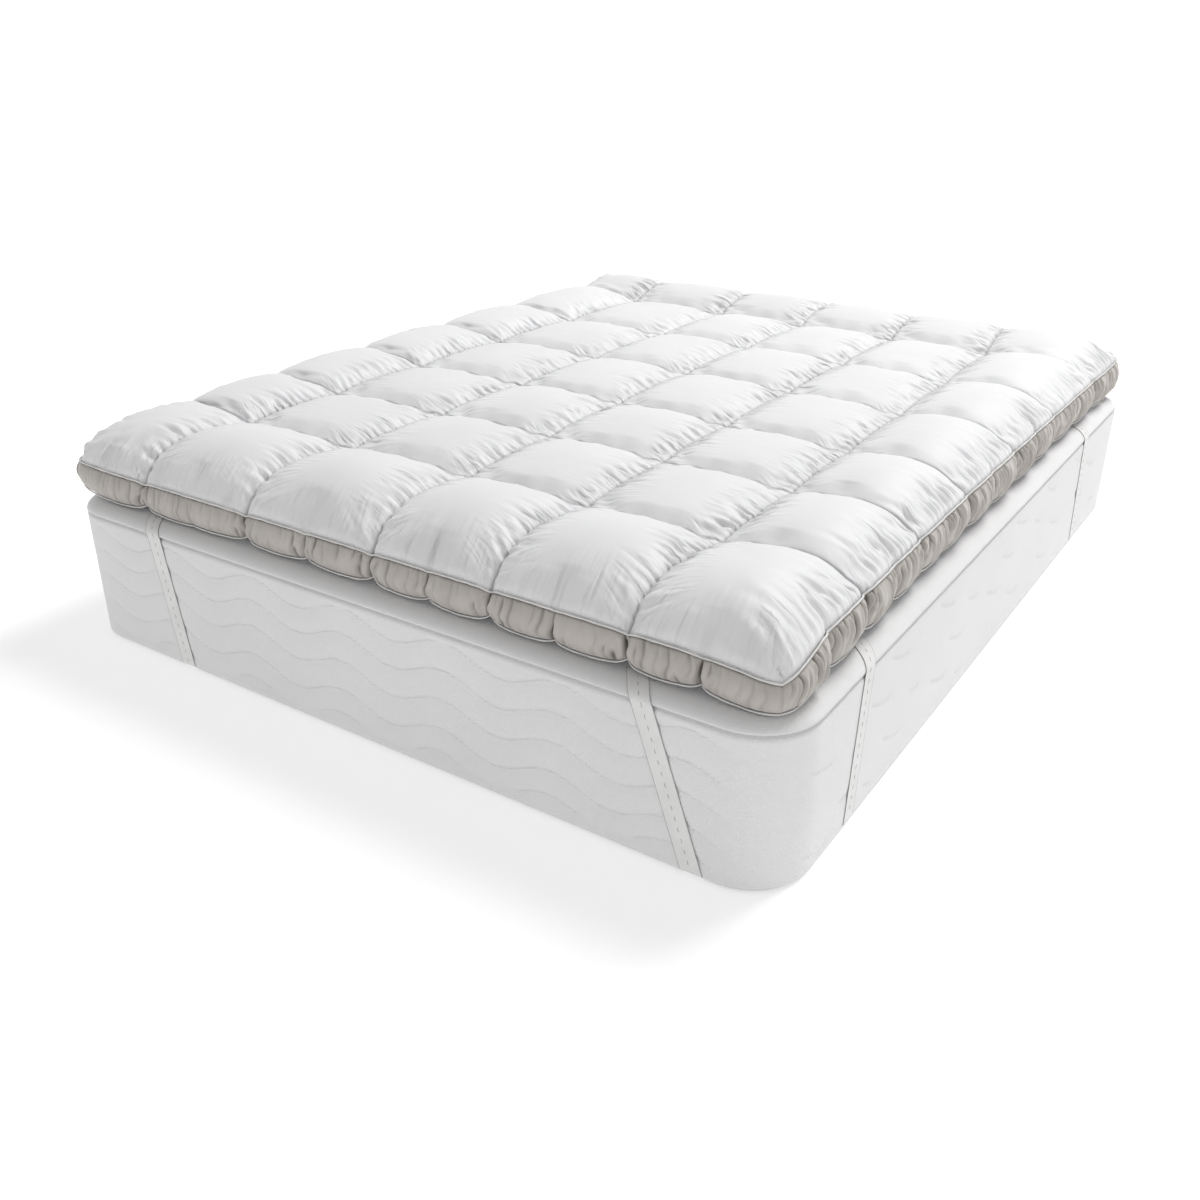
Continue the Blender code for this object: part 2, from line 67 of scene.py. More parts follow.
# %% Camera
CAMERA_PLACE, CAMERA_TURNS = (1.3455, -2.2592, 1.1423), (63.952, -0.205, 33.734)   # m, degrees
CAMERA_LENS, CAMERA_SENSOR = 35.26, 36                                             # mm

bpy.ops.object.select_all(action='DESELECT')
bpy.ops.object.camera_add(location=CAMERA_PLACE,
                          rotation=[math.radians(turn) for turn in CAMERA_TURNS])
camera = bpy.context.object
camera.name = "camera"
camera.data.sensor_width = CAMERA_SENSOR
camera.data.lens = CAMERA_LENS
bpy.context.scene.camera = camera
print("camera at", tuple(camera.location))

# %% [markdown]
# ## Small helpers
# Nearly all of the cloth here is a grid that is laid over a curved place, so one helper makes
# the grid, and others thicken, clean and mark it. They go through numpy arrays, which are much
# faster than loops for meshes of this size.

# %% Helpers for grids
def add_mesh(name, vertices, faces):
    mesh = bpy.data.meshes.new(name)
    mesh.from_pydata(vertices, [], faces)
    obj = bpy.data.objects.new(name, mesh)
    bpy.context.collection.objects.link(obj)
    return obj


def grid_faces(index):
    """Four-sided faces between the neighbours in a grid of vertex numbers."""
    corners = (index[:-1, :-1], index[:-1, 1:], index[1:, 1:], index[1:, :-1])
    return np.stack([corner.ravel() for corner in corners], axis=1).tolist()


def add_grid(name, points, closed=False):
    """A sheet of faces through points[row, column]. Closed joins its two sides."""
    rows, columns = points.shape[:2]
    index = np.arange(rows * columns).reshape(rows, columns)
    if closed:
        index = np.hstack((index, index[:, :1]))
    return add_mesh(name, points.reshape(-1, 3).tolist(), grid_faces(index))


def add_uv(obj, uv_of_vertices, once_round=None):
    """Give a grid its UVs. A closed one reads on past its end, so its last faces don't squeeze."""
    layer = obj.data.uv_layers.new(name="UVMap")
    corners = np.empty(len(obj.data.loops), dtype=int)
    obj.data.loops.foreach_get("vertex_index", corners)
    uv = uv_of_vertices[corners]
    if once_round:
        run_of_faces = uv[:, 0].reshape(-1, 4).copy()
        furthest = run_of_faces.max(axis=1, keepdims=True)
        run_of_faces[furthest - run_of_faces > once_round / 2] += once_round
        uv[:, 0] = run_of_faces.ravel()
    layer.data.foreach_set("uv", uv.ravel())


def add_attribute(obj, name, values):
    """A number for each vertex, which a material reads by its name."""
    layer = obj.data.attributes.new(name, 'FLOAT', 'POINT')
    layer.data.foreach_set("value", np.asarray(values, dtype=float).ravel())


# %% Helpers for edits
def make_active(obj):
    bpy.ops.object.select_all(action='DESELECT')
    obj.select_set(True)
    bpy.context.view_layer.objects.active = obj


def apply_modifiers(obj):
    make_active(obj)
    for modifier in list(obj.modifiers):
        bpy.ops.object.modifier_apply(modifier=modifier.name)


def thicken(obj, thickness, offset):
    """Give a sheet the thickness of its cloth. Offset says to which side, from -1 to 1."""
    cloth = obj.modifiers.new("cloth", 'SOLIDIFY')
    cloth.thickness, cloth.offset = thickness, offset
    apply_modifiers(obj)


TURN_OUT = (bpy.ops.mesh.normals_make_consistent, {"inside": False})


def edit_whole(obj, *steps):
    """Run edit-mode operators, each with its settings, on all of a mesh."""
    make_active(obj)
    bpy.ops.object.mode_set(mode='EDIT')
    bpy.ops.mesh.select_all(action='SELECT')
    for operator, settings in steps:
        operator(**settings)
    bpy.ops.object.mode_set(mode='OBJECT')


# %% Helpers for measures
def smooth_step(low, high, value):
    share = np.clip((value - low) / (high - low), 0, 1)
    return share * share * (3 - 2 * share)


def metres_along(points):
    """How far along a line each of its points lies."""
    return np.append(0, np.cumsum(np.linalg.norm(np.diff(points, axis=0), axis=1)))


def in_mm(metres):
    return round(float(metres) * 1000, 2)


# %% [markdown]
# ## The quilt's plan
# The seams of the real quilt aren't straight, and the boxes aren't all alike. Two short tables
# say where each seam crosses the quilt, and every piece on or round the quilt is laid out from
# them, so that cords, band and top panel meet. The sizes are those of the solids.

# %% Sizes of the topper
GAP = 0.0003
TOPPER_WIDTH, TOPPER_LENGTH = 1.556, 1.951
TOPPER_MIDDLE = np.array((0.013, -0.002))
EAR_CUT, EAR_LENGTH = 0.006, 0.7
BOXES_ACROSS, BOXES_ALONG = 6, 7
CAD_STEP = 1 / 8                       # the solids have eight steps to a box
COLUMN_SEAMS = np.array((
    (0.000, 0.000, 0.000), (0.205, 0.197, 0.238), (0.488, 0.502, 0.526), (0.798, 0.766, 0.782),
    (1.050, 1.034, 1.036), (1.306, 1.302, 1.276), (TOPPER_WIDTH,) * 3))
ROW_SEAMS = np.array((
    (0.000, 0.000, 0.000), (0.276, 0.279, 0.284), (0.518, 0.544, 0.536), (0.809, 0.809, 0.785),
    (1.110, 1.103, 1.085), (1.416, 1.410, 1.384), (1.764, 1.726, 1.722), (TOPPER_LENGTH,) * 3))
SIDES = {
    # name: outward, along the rim, start in boxes, boxes, drawn in, extra tuck of each box
    "front": ((0, -1), (1, 0), (0, 0), 6, 0.002, (0.1, 0.3, 0.9, 0.8, 0.7, 1.0)),
    "right": ((1, 0), (0, 1), (6, 0), 7, 0.011, (1.0, 0.9, 0.6, 0.8, 1.0, 0.7, 0.5)),
    "back": ((0, 1), (-1, 0), (6, 7), 6, -0.030, (0.8, 0.4, 0.9, 0.6, 0.8, 0.3)),
    "left": ((-1, 0), (0, -1), (0, 7), 7, -0.045, (0.4, 0.9, 0.5, 0.8, 0.9, 0.3, 0.6)),
}
SEAM_HEIGHTS = {
    # side: top seam at its corner, bottom seam at its corner, top seam, bottom seam
    "front": (0.357, 0.313, 0.350, 0.304), "right": (0.338, 0.2985, 0.367, 0.307),
    "back": (0.376, 0.318, 0.362, 0.305), "left": (0.358, 0.308, 0.352, 0.305),
}
RIM_HEIGHT, SEAM_HEIGHT, SEAM_DOME, SEAM_ARCH = 0.356, 0.388, 0.012, 0.005
RIM_ARCHES_ACROSS = (0.018, 0.016)     # of a channel beside the rim, at the left and the right
RIM_ARCHES_ALONG = (0.016, 0.036)      # and at the front and the back
CROWNS = np.array((
    # how high each box stands over its channels, in millimetres, front row first
    (30, 38, 39, 39, 39, 39), (34, 29, 29, 29, 29, 34), (34, 28, 28, 28, 28, 33),
    (34, 28, 28, 28, 28, 33), (34, 28, 28, 28, 28, 33), (34, 28, 28, 28, 28, 34),
    (26, 22, 22, 22, 22, 23))) / 1000
CROWN_FULLNESS, RIM_FULLNESS, FULLEST = 0.55, 0.40, 0.35   # powers: the lower, the fuller
RIM_ROUNDNESS, LEFT_ROUNDNESS = 6.0, 14.0
PIPING_RADIUS, LOWER_PIPING_RADIUS = 0.0025, 0.0020
PIPING_LIFT, SCALLOP_DROP, RIM_PUFF = 0.005, 0.0095, 0.006
GUSSET_BULGE, GUSSET_SLACK, GUSSET_CLOTH, GUSSET_ROUNDNESS = 0.010, 0.003, 0.0015, 0.7
PUFF_ROUNDNESS, CORNER_FULLNESS = 0.5, 0.55
UNEVENNESS, UNEVEN_STEP, UNEVEN_DRIFT = 0.12, 1.9, 2.6
NOTCH_REACH = 0.045                    # of a box: the thread pulls both seams in at a tuck
NOTCH_IN, NOTCH_DOWN, NOTCH_UP = 0.004, 0.0045, 0.002


# %% Where a point of the quilt lies
def arch(share):
    return 4 * share * (1 - share)


def along(lines, share):
    """A smooth line through the three places of each row: start, middle and end."""
    start, middle, end = np.moveaxis(lines, -1, 0)
    return (start * (1 - share) * (1 - 2 * share) + middle * arch(share)
            + end * share * (2 * share - 1))


def between(lines, place, share):
    lower = np.clip(place.astype(int), 0, len(lines) - 2)
    part = place - lower
    return along(lines[lower], share) * (1 - part) + along(lines[lower + 1], share) * part


def quilt_place(column, row):
    """Plan position of a point counted in boxes from the front left corner."""
    across, lengthways = column / BOXES_ACROSS, row / BOXES_ALONG
    x = between(COLUMN_SEAMS, column, lengthways)
    y = between(ROW_SEAMS, row, across)

    def drawn_in(name, share, boxes_from_rim):
        return SIDES[name][4] * arch(share) * np.maximum(0, 1 - boxes_from_rim)

    x += drawn_in("left", lengthways, column) - drawn_in("right", lengthways, BOXES_ACROSS - column)
    y += drawn_in("front", across, row) - drawn_in("back", across, BOXES_ALONG - row)
    corner = TOPPER_MIDDLE - np.array((TOPPER_WIDTH, TOPPER_LENGTH)) / 2
    return np.stack((corner[0] + x, corner[1] + y), axis=-1)


def quilt_height(column, row, crown_share=1):
    """Height of the quilted top: channels, crowns and the fall to the rim."""
    def swell(place, boxes):
        beside_rim = np.minimum(place, boxes - place) < 0.5
        outer = (column < 1) | (row > BOXES_ALONG - 1)
        fullness = np.where(outer, FULLEST, CROWN_FULLNESS)
        return np.maximum(arch(place % 1), 0) ** np.where(beside_rim, RIM_FULLNESS, fullness)

    def channel_arch(place, boxes, rim_arches):
        from_rim = np.minimum(place, boxes - place)
        near_rim = 1.5 * np.sqrt(3 * np.maximum(from_rim, 0)) * (1 - from_rim)
        near_rim = near_rim * np.where(place > boxes / 2, rim_arches[1], rim_arches[0])
        return np.where(from_rim >= 1, SEAM_ARCH * arch(place % 1), near_rim)

    from_end = np.minimum(np.minimum(row, BOXES_ALONG - row), 1)
    from_left, from_rest = np.clip(column, 0, 1), np.clip(BOXES_ACROSS - column, 0, 1)
    rise = np.minimum(1 - (1 - from_left) ** LEFT_ROUNDNESS,
                      1 - (1 - np.minimum(from_rest, from_end)) ** RIM_ROUNDNESS)
    dome = arch(column / BOXES_ACROSS) * arch(row / BOXES_ALONG)
    channel = RIM_HEIGHT + (SEAM_HEIGHT + SEAM_DOME * dome - RIM_HEIGHT) * rise
    channel += rise * np.maximum(channel_arch(column, BOXES_ACROSS, RIM_ARCHES_ACROSS),
                                 channel_arch(row, BOXES_ALONG, RIM_ARCHES_ALONG))
    crown = crown_share * CROWNS[np.minimum(row.astype(int), BOXES_ALONG - 1),
                                 np.minimum(column.astype(int), BOXES_ACROSS - 1)]
    return channel + crown * swell(column, BOXES_ACROSS) * swell(row, BOXES_ALONG)


# %% [markdown]
# ## The rim
# Both pipings and the band between them follow the rim. It puffs out between two seams of the
# quilt and is tucked in at each seam, and most boxes have an extra tuck in the middle. The
# function below gives one side of the rim at any places along it, counted in boxes.

# %% Where a point of the rim lies
def rim_side(name, places):
    outward, way, start, boxes, _, extra_tucks = SIDES[name]
    outward, way, start = (np.array(vector, dtype=float) for vector in (outward, way, start))
    column, row = start[0] + way[0] * places, start[1] + way[1] * places
    near_corner = np.clip(1 - np.minimum(places, boxes - places) / CAD_STEP, 0, 1)
    clear_of_corner = np.clip(places, CAD_STEP, boxes - CAD_STEP)
    box = np.minimum(clear_of_corner.astype(int), boxes - 1)
    share = clear_of_corner - box
    tuck = np.array(extra_tucks)[box]
    puffs = (np.abs(np.sin(math.pi * share)) ** PUFF_ROUNDNESS * (1 - tuck)
             + np.abs(np.sin(2 * math.pi * share)) ** PUFF_ROUNDNESS * tuck)
    wave = np.sin(UNEVEN_STEP * box + UNEVEN_DRIFT * share + boxes)
    full = puffs * (1 + UNEVENNESS * wave)
    full = full * (1 - near_corner) + CORNER_FULLNESS * near_corner

    nearest = np.clip(np.round(places), 1, boxes - 1)
    notch = np.exp(-((places - nearest) / NOTCH_REACH) ** 2)
    notch += 0.5 * tuck ** 2 * np.exp(-((share - 0.5) / NOTCH_REACH) ** 2) * (1 - near_corner)
    place = quilt_place(column, row)
    place += outward * (RIM_PUFF * full * (1 - near_corner) - NOTCH_IN * notch)[:, None]
    inward = np.stack((np.sign(BOXES_ACROSS / 2 - column), np.sign(BOXES_ALONG / 2 - row)), axis=-1)
    place += inward * (EAR_CUT * near_corner ** 2)[:, None]

    following = list(SIDES)[(list(SIDES).index(name) + 1) % 4]
    near_start = np.maximum(0, 1 - places / EAR_LENGTH) ** 2
    near_end = np.maximum(0, 1 - (boxes - places) / EAR_LENGTH) ** 2
    top, bottom = (SEAM_HEIGHTS[name][k + 2]
                   + (SEAM_HEIGHTS[name][k] - SEAM_HEIGHTS[name][k + 2]) * near_start
                   + (SEAM_HEIGHTS[following][k] - SEAM_HEIGHTS[name][k + 2]) * near_end
                   for k in (0, 1))
    return {"place": place, "full": full, "at": places,
            "top": top + PIPING_LIFT * full - NOTCH_DOWN * notch,
            "bottom": bottom - SCALLOP_DROP * full + NOTCH_UP * notch}


def turned_out(way):
    """The way out of the rim at each point, where way runs on along it."""
    out = np.stack((way[:, 1], -way[:, 0]), axis=-1)
    return out / np.linalg.norm(out, axis=1)[:, None]


def whole_rim(places):
    """All four sides of the rim in one loop, at the places given for each side."""
    sides = [rim_side(name, places[name]) for name in SIDES]
    return {key: np.concatenate([side[key] for side in sides]) for key in sides[0]}


def rim_ring(steps):
    """The whole rim with so many even steps to a box, and the way out at each point."""
    ring = whole_rim({name: np.arange(SIDES[name][3] * steps) / steps for name in SIDES})
    ways_out = turned_out(np.roll(ring["place"], -1, axis=0) - ring["place"])
    spread = max(1, steps // 12)       # a cord can't turn within a few millimetres
    total = sum(np.roll(ways_out, shift, axis=0) for shift in range(-spread + 1, spread + 1))
    ring["outward"] = total / np.linalg.norm(total, axis=1)[:, None]
    return ring


print("rim: longest side", round(float(np.ptp(rim_ring(8)["place"][:, 1])), 3), "m")

# %% [markdown]
# ## The filled topper
# Down pushes the panel up between its seams, so each box is a cushion: a crown, steep sides
# and a sharp seam. A plain pillow could be inflated from a flat sheet, but 42 boxes would then
# drift from the photograph. So the panel starts at the solid's own heights and the simulation
# only fills it: the cloth is held at its seams, is cut a little too large and is blown up,
# which gives the soft dents and gathers of slack cloth. Rows of vertices are crowded towards
# the seams, where the gathers are.

# %% The top panel, laid over the solid
def crowded(steps, boxes, crowding):
    """Places along the quilt, with so many steps to a box, closer together at the seams."""
    even = np.arange(steps) / steps
    share = even - crowding * np.sin(2 * math.pi * even) / (2 * math.pi)
    return np.append((np.arange(boxes)[:, None] + share).ravel(), boxes)


STEPS_ACROSS, STEPS_ALONG = 24, 84     # to a box
COLUMNS = crowded(STEPS_ACROSS, BOXES_ACROSS, 0.55)
ROWS = crowded(STEPS_ALONG, BOXES_ALONG, 0.15)


def lay_panel(columns, rows):
    """Points [row, column] of the top panel, joined to the rim on its four sides."""
    column, row = np.meshgrid(columns, rows)
    flat = column.ravel(), row.ravel()
    points = np.column_stack((quilt_place(*flat), quilt_height(*flat)))
    points = points.reshape(*column.shape, 3)
    edge_places = {"front": columns, "right": rows, "back": BOXES_ACROSS - columns,
                   "left": BOXES_ALONG - rows}
    moves = {}
    for name, edge in (("front", points[0]), ("right", points[:, -1]),
                       ("back", points[-1]), ("left", points[:, 0])):
        rim = rim_side(name, edge_places[name])
        moves[name] = np.column_stack((rim["place"], rim["top"])) - edge
    near = {"front": row, "right": BOXES_ACROSS - column, "back": BOXES_ALONG - row,
            "left": column}
    near = {name: np.clip(1 - boxes / CAD_STEP, 0, 1)[..., None] for name, boxes in near.items()}
    points += near["front"] * moves["front"][None] + near["back"] * moves["back"][None]
    points += near["right"] * moves["right"][:, None] + near["left"] * moves["left"][:, None]
    for end, side, corner in (("front", "left", 0), ("front", "right", -1),
                              ("back", "left", 0), ("back", "right", -1)):
        points -= near[end] * near[side] * moves[end][corner]
    return points


panel_points = lay_panel(COLUMNS, ROWS)
print("top panel:", panel_points.shape, "highest", round(float(panel_points[..., 2].max()), 4))


# %% Filling it
MOST_MOVE = 0.005                      # no point is pushed further than this
OVERSIZE = 0.02                        # the cloth is cut this much larger than its boxes
SLACKNESS = 0.25                       # and starts this much flatter than it ends
LAST_FRAME = 20
COTTON_FEEL = {"quality": 5, "mass": 0.2, "tension_stiffness": 20, "compression_stiffness": 20,
               "shear_stiffness": 8, "bending_stiffness": 0.15, "shrink_min": -OVERSIZE,
               "use_pressure": True, "uniform_pressure_force": 4, "vertex_group_mass": "sewn"}


def fill_with_down(points, on_seam):
    """Blow up a sheet that is held at its seams, and return how far each point moved."""
    sheet = add_grid("down_fill", points)
    group = sheet.vertex_groups.new(name="sewn")
    group.add([int(k) for k in np.flatnonzero(on_seam.ravel())], 1.0, 'REPLACE')
    cloth = sheet.modifiers.new("fill", 'CLOTH')
    for setting, value in COTTON_FEEL.items():
        setattr(cloth.settings, setting, value)
    cloth.settings.effector_weights.gravity = 0
    cloth.point_cache.frame_start, cloth.point_cache.frame_end = 1, LAST_FRAME
    for number in range(1, LAST_FRAME + 1):
        bpy.context.scene.frame_set(number)
    apply_modifiers(sheet)
    bpy.context.scene.frame_set(1)
    blown = np.empty(points.size)
    sheet.data.vertices.foreach_get("co", blown)
    moves = blown.reshape(points.shape) - points
    bpy.data.objects.remove(sheet)
    lengths = np.linalg.norm(moves, axis=-1, keepdims=True)
    print("down fill: largest move", in_mm(lengths.max()), "mm, mean", in_mm(lengths.mean()), "mm")
    return moves * np.minimum(1, MOST_MOVE / np.maximum(lengths, 1e-9))


def halve_steps(field, axis):
    """Put a smooth value between each two along one way."""
    field = np.moveaxis(field, axis, 0)
    padded = np.concatenate((field[:1], field, field[-1:]))
    middle = (9 * (padded[1:-2] + padded[2:-1]) - padded[:-3] - padded[3:]) / 16
    out = np.empty((2 * len(field) - 1, *field.shape[1:]))
    out[::2], out[1::2] = field, middle
    return np.moveaxis(out, 0, axis)


column, row = np.meshgrid(COLUMNS[::2], ROWS[::2])
on_seam = (np.abs(column - np.round(column)) < 1e-6) | (np.abs(row - np.round(row)) < 1e-6)
slack = panel_points[::2, ::2].copy()
channel = quilt_height(column.ravel(), row.ravel(), crown_share=0).reshape(column.shape)
inside = np.minimum(1, np.minimum.reduce((column, BOXES_ACROSS - column,
                                          row, BOXES_ALONG - row)) / CAD_STEP)
slack[..., 2] -= SLACKNESS * inside * (slack[..., 2] - channel)
filled = slack + fill_with_down(slack, on_seam)
moved = filled - panel_points[::2, ::2]
print("after filling: crowns on average", in_mm(moved[..., 2].mean()), "mm over the solid's")
panel_points = panel_points + halve_steps(halve_steps(moved, 0), 1)

# %% [markdown]
# ## Gathers
# The seams that run lengthwise are puckered: short, sharp creases stand across them and fan
# out towards the middle of each box. The front piping pulls longer, softer creases up into the
# first row, and the four corners have creases that radiate from their ears. A simulation would
# need cloth of a millimetre to find these, so each crease is pressed in as a trough between two
# low ridges. Their places are drawn from one seeded generator, so they are uneven but always
# the same.

# %% Creases pressed into the boxes
def surface_ways_out(points):
    across = np.gradient(points, axis=1)
    along_it = np.gradient(points, axis=0)
    out = np.cross(across, along_it)
    return out / np.maximum(np.linalg.norm(out, axis=-1, keepdims=True), 1e-12)


def crease(u, v, start, heading, length, width, depth, bend):
    """Height of one crease over a box, where u and v are metres from its left and front seam."""
    du, dv = u - start[0], v - start[1]
    ahead = du * math.cos(heading) + dv * math.sin(heading)
    aside = dv * math.cos(heading) - du * math.sin(heading) + bend * ahead ** 2
    fade = smooth_step(-0.004, 0.006, ahead) * (1 - smooth_step(0.3 * length, length, ahead))
    wide = width * (1 + 1.2 * np.clip(ahead / length, 0, 1))
    trough = -np.exp(-(aside / wide) ** 2)
    ridges = (np.exp(-((aside - 1.7 * wide) / wide) ** 2)
              + np.exp(-((aside + 1.7 * wide) / wide) ** 2))
    return depth * fade * (trough + 0.45 * ridges)


def gather_edge(u, v, size, edge, pitch, length, width, depth, fan):
    """Creases along one edge of a box, turned towards its middle near the edge's ends."""
    width_u, length_v = size
    run = length_v if edge in ("left", "right") else width_u
    heading = {"left": 0, "right": math.pi, "front": math.pi / 2, "back": -math.pi / 2}[edge]
    total = np.zeros_like(u)
    place = pitch * rng.uniform(0.3, 0.9)
    while place < run - 0.3 * pitch:
        start = {"left": (0, place), "right": (width_u, place),
                 "front": (place, 0), "back": (place, length_v)}[edge]
        off_middle = 2 * place / run - 1
        turn = -fan * off_middle * (1 if edge in ("left", "back") else -1)
        strength = rng.uniform(0.35, 1.0) * (1 - 0.45 * off_middle ** 2)
        total += crease(u, v, start, heading + turn + rng.normal(0, 0.16),
                        length * rng.uniform(0.45, 1.25), width * rng.uniform(0.8, 1.25),
                        depth * strength, rng.normal(0, 1.2))
        place += pitch * rng.uniform(0.6, 1.5)
    return total


EDGE_GATHERS = {
    # edge: pitch, length, width, depth and fan between two boxes, and the same on the rim
    "left": ((0.024, 0.055, 0.0040, 0.0045, 0.50), (0.022, 0.080, 0.0046, 0.0050, 0.50)),
    "right": ((0.023, 0.075, 0.0038, 0.0062, 0.45), (0.022, 0.095, 0.0042, 0.0060, 0.45)),
    "front": ((0.050, 0.040, 0.0050, 0.0012, 0.40), (0.032, 0.095, 0.0065, 0.0055, 0.50)),
    "back": ((0.055, 0.035, 0.0050, 0.0010, 0.40), (0.030, 0.080, 0.0060, 0.0030, 0.50)),
}
EAR_CREASES = (-0.62, -0.36, -0.12, 0.14, 0.40, 0.64)   # turns from the line to the box's middle


def gather_box(u, v, size, column, row):
    """All the creases of one box."""
    total = np.zeros_like(u)
    on_rim = {"left": column == 0, "right": column == BOXES_ACROSS - 1,
              "front": row == 0, "back": row == BOXES_ALONG - 1}
    for edge, (inside, at_rim) in EDGE_GATHERS.items():
        total += gather_edge(u, v, size, edge, *(at_rim if on_rim[edge] else inside))
    if column in (0, BOXES_ACROSS - 1) and row in (0, BOXES_ALONG - 1):
        corner = (0 if column == 0 else size[0], 0 if row == 0 else size[1])
        middle = math.atan2(size[1] / 2 - corner[1], size[0] / 2 - corner[0])
        for turn in EAR_CREASES:
            total += crease(u, v, corner, middle + turn + rng.normal(0, 0.05),
                            rng.uniform(0.12, 0.22), 0.0065, rng.uniform(0.002, 0.0045),
                            rng.normal(0, 0.6))
    return total


def gather_panel(points):
    height = np.zeros(points.shape[:2])
    for row in range(BOXES_ALONG):
        for column in range(BOXES_ACROSS):
            cells = np.s_[STEPS_ALONG * row:STEPS_ALONG * (row + 1) + 1,
                          STEPS_ACROSS * column:STEPS_ACROSS * (column + 1) + 1]
            middle_row = points[cells][STEPS_ALONG // 2, :, :2]
            middle_column = points[cells][:, STEPS_ACROSS // 2, :2]
            width_u = float(np.linalg.norm(middle_row[-1] - middle_row[0]))
            length_v = float(np.linalg.norm(middle_column[-1] - middle_column[0]))
            u, v = np.meshgrid((COLUMNS[cells[1]] - column) * width_u,
                               (ROWS[cells[0]] - row) * length_v)
            height[cells] += gather_box(u, v, (width_u, length_v), column, row)
    return height


puckers = gather_panel(panel_points)
column, row = np.meshgrid(COLUMNS, ROWS)
from_rim = np.minimum(np.minimum(column, BOXES_ACROSS - column),
                      np.minimum(row, BOXES_ALONG - row))
puckers *= smooth_step(0, 0.04, from_rim)
panel_points = panel_points + surface_ways_out(panel_points) * puckers[..., None]
print("creases: deepest", in_mm(-puckers.min()), "mm")


# %% [markdown]
# The panel is closed into one bag: its sides go down behind the band, which hides them, and
# the underside lies flat on the mattress.

# %% Closing the bag
def rim_loop(columns, rows):
    """The rim at the same places as the edge of the panel, with the way out at each."""
    loop = whole_rim({"front": columns[:-1], "right": rows[:-1],
                      "back": (BOXES_ACROSS - columns[::-1])[:-1],
                      "left": (BOXES_ALONG - rows[::-1])[:-1]})
    loop["outward"] = turned_out(np.roll(loop["place"], -1, axis=0)
                                 - np.roll(loop["place"], 1, axis=0))
    return loop


def close_bag(points, columns, rows):
    loop = rim_loop(columns, rows)
    lengthways, across = points.shape[:2]
    index = np.arange(lengthways * across).reshape(lengthways, across)
    edge = np.concatenate((index[0, :-1], index[:-1, -1], index[-1, :0:-1], index[:0:-1, 0]))
    levels = [
        # how far out from the rim, height
        (-0.0010, loop["top"] - 0.0035), (-0.0020, loop["top"] * 0.7 + loop["bottom"] * 0.3),
        (-0.0020, loop["top"] * 0.3 + loop["bottom"] * 0.7), (-0.0010, loop["bottom"] + 0.003),
        (-0.0060, loop["bottom"] - 0.001), (-0.045, np.full(len(edge), 0.2883))]
    rings = [np.column_stack((loop["place"] + loop["outward"] * out, height))
             for out, height in levels]
    vertices = np.concatenate([points.reshape(-1, 3)] + rings)
    faces = grid_faces(index)
    upper = edge
    for k in range(len(levels)):
        lower = index.size + k * len(edge) + np.arange(len(edge))
        faces += np.stack((upper, lower, np.roll(lower, -1), np.roll(upper, -1)), axis=1).tolist()
        upper = lower
    faces.append(upper[::-1].tolist())
    bag = add_mesh("topper_quilt", vertices.tolist(), faces)
    bag.data.shade_smooth()
    return bag, len(vertices) - index.size


quilt, hidden = close_bag(panel_points, COLUMNS, ROWS)

# %% Where the cotton's gathers and channels are
BOX_WIDTH, BOX_LENGTH = 0.26, 0.28     # metres, about, for maps that only the cotton reads


def gather_maps(obj):
    """Two UV maps: metres away from a seam, and metres along it with the gathers' fan undone."""
    low_u, high_u = COLUMNS[:-1], COLUMNS[1:]
    low_v, high_v = ROWS[:-1], ROWS[1:]
    corners_u = np.stack((low_u, high_u, high_u, low_u), axis=-1)[None]
    corners_v = np.stack((low_v, low_v, high_v, high_v), axis=-1)[:, None]
    box_u = np.floor(corners_u.mean(axis=-1, keepdims=True))
    box_v = np.floor(corners_v.mean(axis=-1, keepdims=True))
    for name, across, along_it, far_box, near_box, boxes, spread in (
            ("side_gathers", corners_u, corners_v, box_u, box_v, (BOX_WIDTH, BOX_LENGTH), 0.45),
            ("rim_gathers", corners_v, corners_u, box_v, box_u, (BOX_LENGTH, BOX_WIDTH), 0.35)):
        away = (across - far_box) * boxes[0]
        beyond = away.mean(axis=-1, keepdims=True) > boxes[0] / 2
        away = np.where(beyond, boxes[0] - away, away)
        place = (along_it - near_box) * boxes[1]
        start = (place - spread * away) / (1 - 2 * spread * away / boxes[1])
        start = start + 1.7 * near_box + 12.3 * far_box + 0.9 * beyond
        away = away + 0 * start
        grid = np.stack((away, start), axis=-1).reshape(-1, 2)
        layer = obj.data.uv_layers.new(name=name)
        uv = np.zeros((len(obj.data.loops), 2))
        uv[:len(grid)] = grid
        layer.data.foreach_set("uv", uv.ravel())


gather_maps(quilt)
from_column_seam = np.abs(column - np.round(column)) * BOX_WIDTH
from_row_seam = np.abs(row - np.round(row)) * BOX_LENGTH
from_end = np.minimum(row, BOXES_ALONG - row) * BOX_LENGTH
for name, distance, reach in (("pucker", from_column_seam, 0.095), ("rim_pucker", from_end, 0.10),
                              ("fine_pucker", from_column_seam, 0.055)):
    add_attribute(quilt, name, np.append(1 - smooth_step(0.01, reach, distance), [0] * hidden))
# How far each point is from a channel inside the quilt, as off_channel; the cotton paints shade
# into the channels by it.
CLEAR = 0.05                           # far enough from a channel, also on the bag's sides
inner_column = (column > 0.5) & (column < BOXES_ACROSS - 0.5)
inner_row = (row > 0.5) & (row < BOXES_ALONG - 0.5)
off_channel = np.minimum(np.where(inner_column, from_column_seam * 1.7, CLEAR),
                         np.where(inner_row, from_row_seam, CLEAR))
add_attribute(quilt, "off_channel", np.append(off_channel, [CLEAR] * hidden))
print("quilt:", len(quilt.data.polygons), "faces")


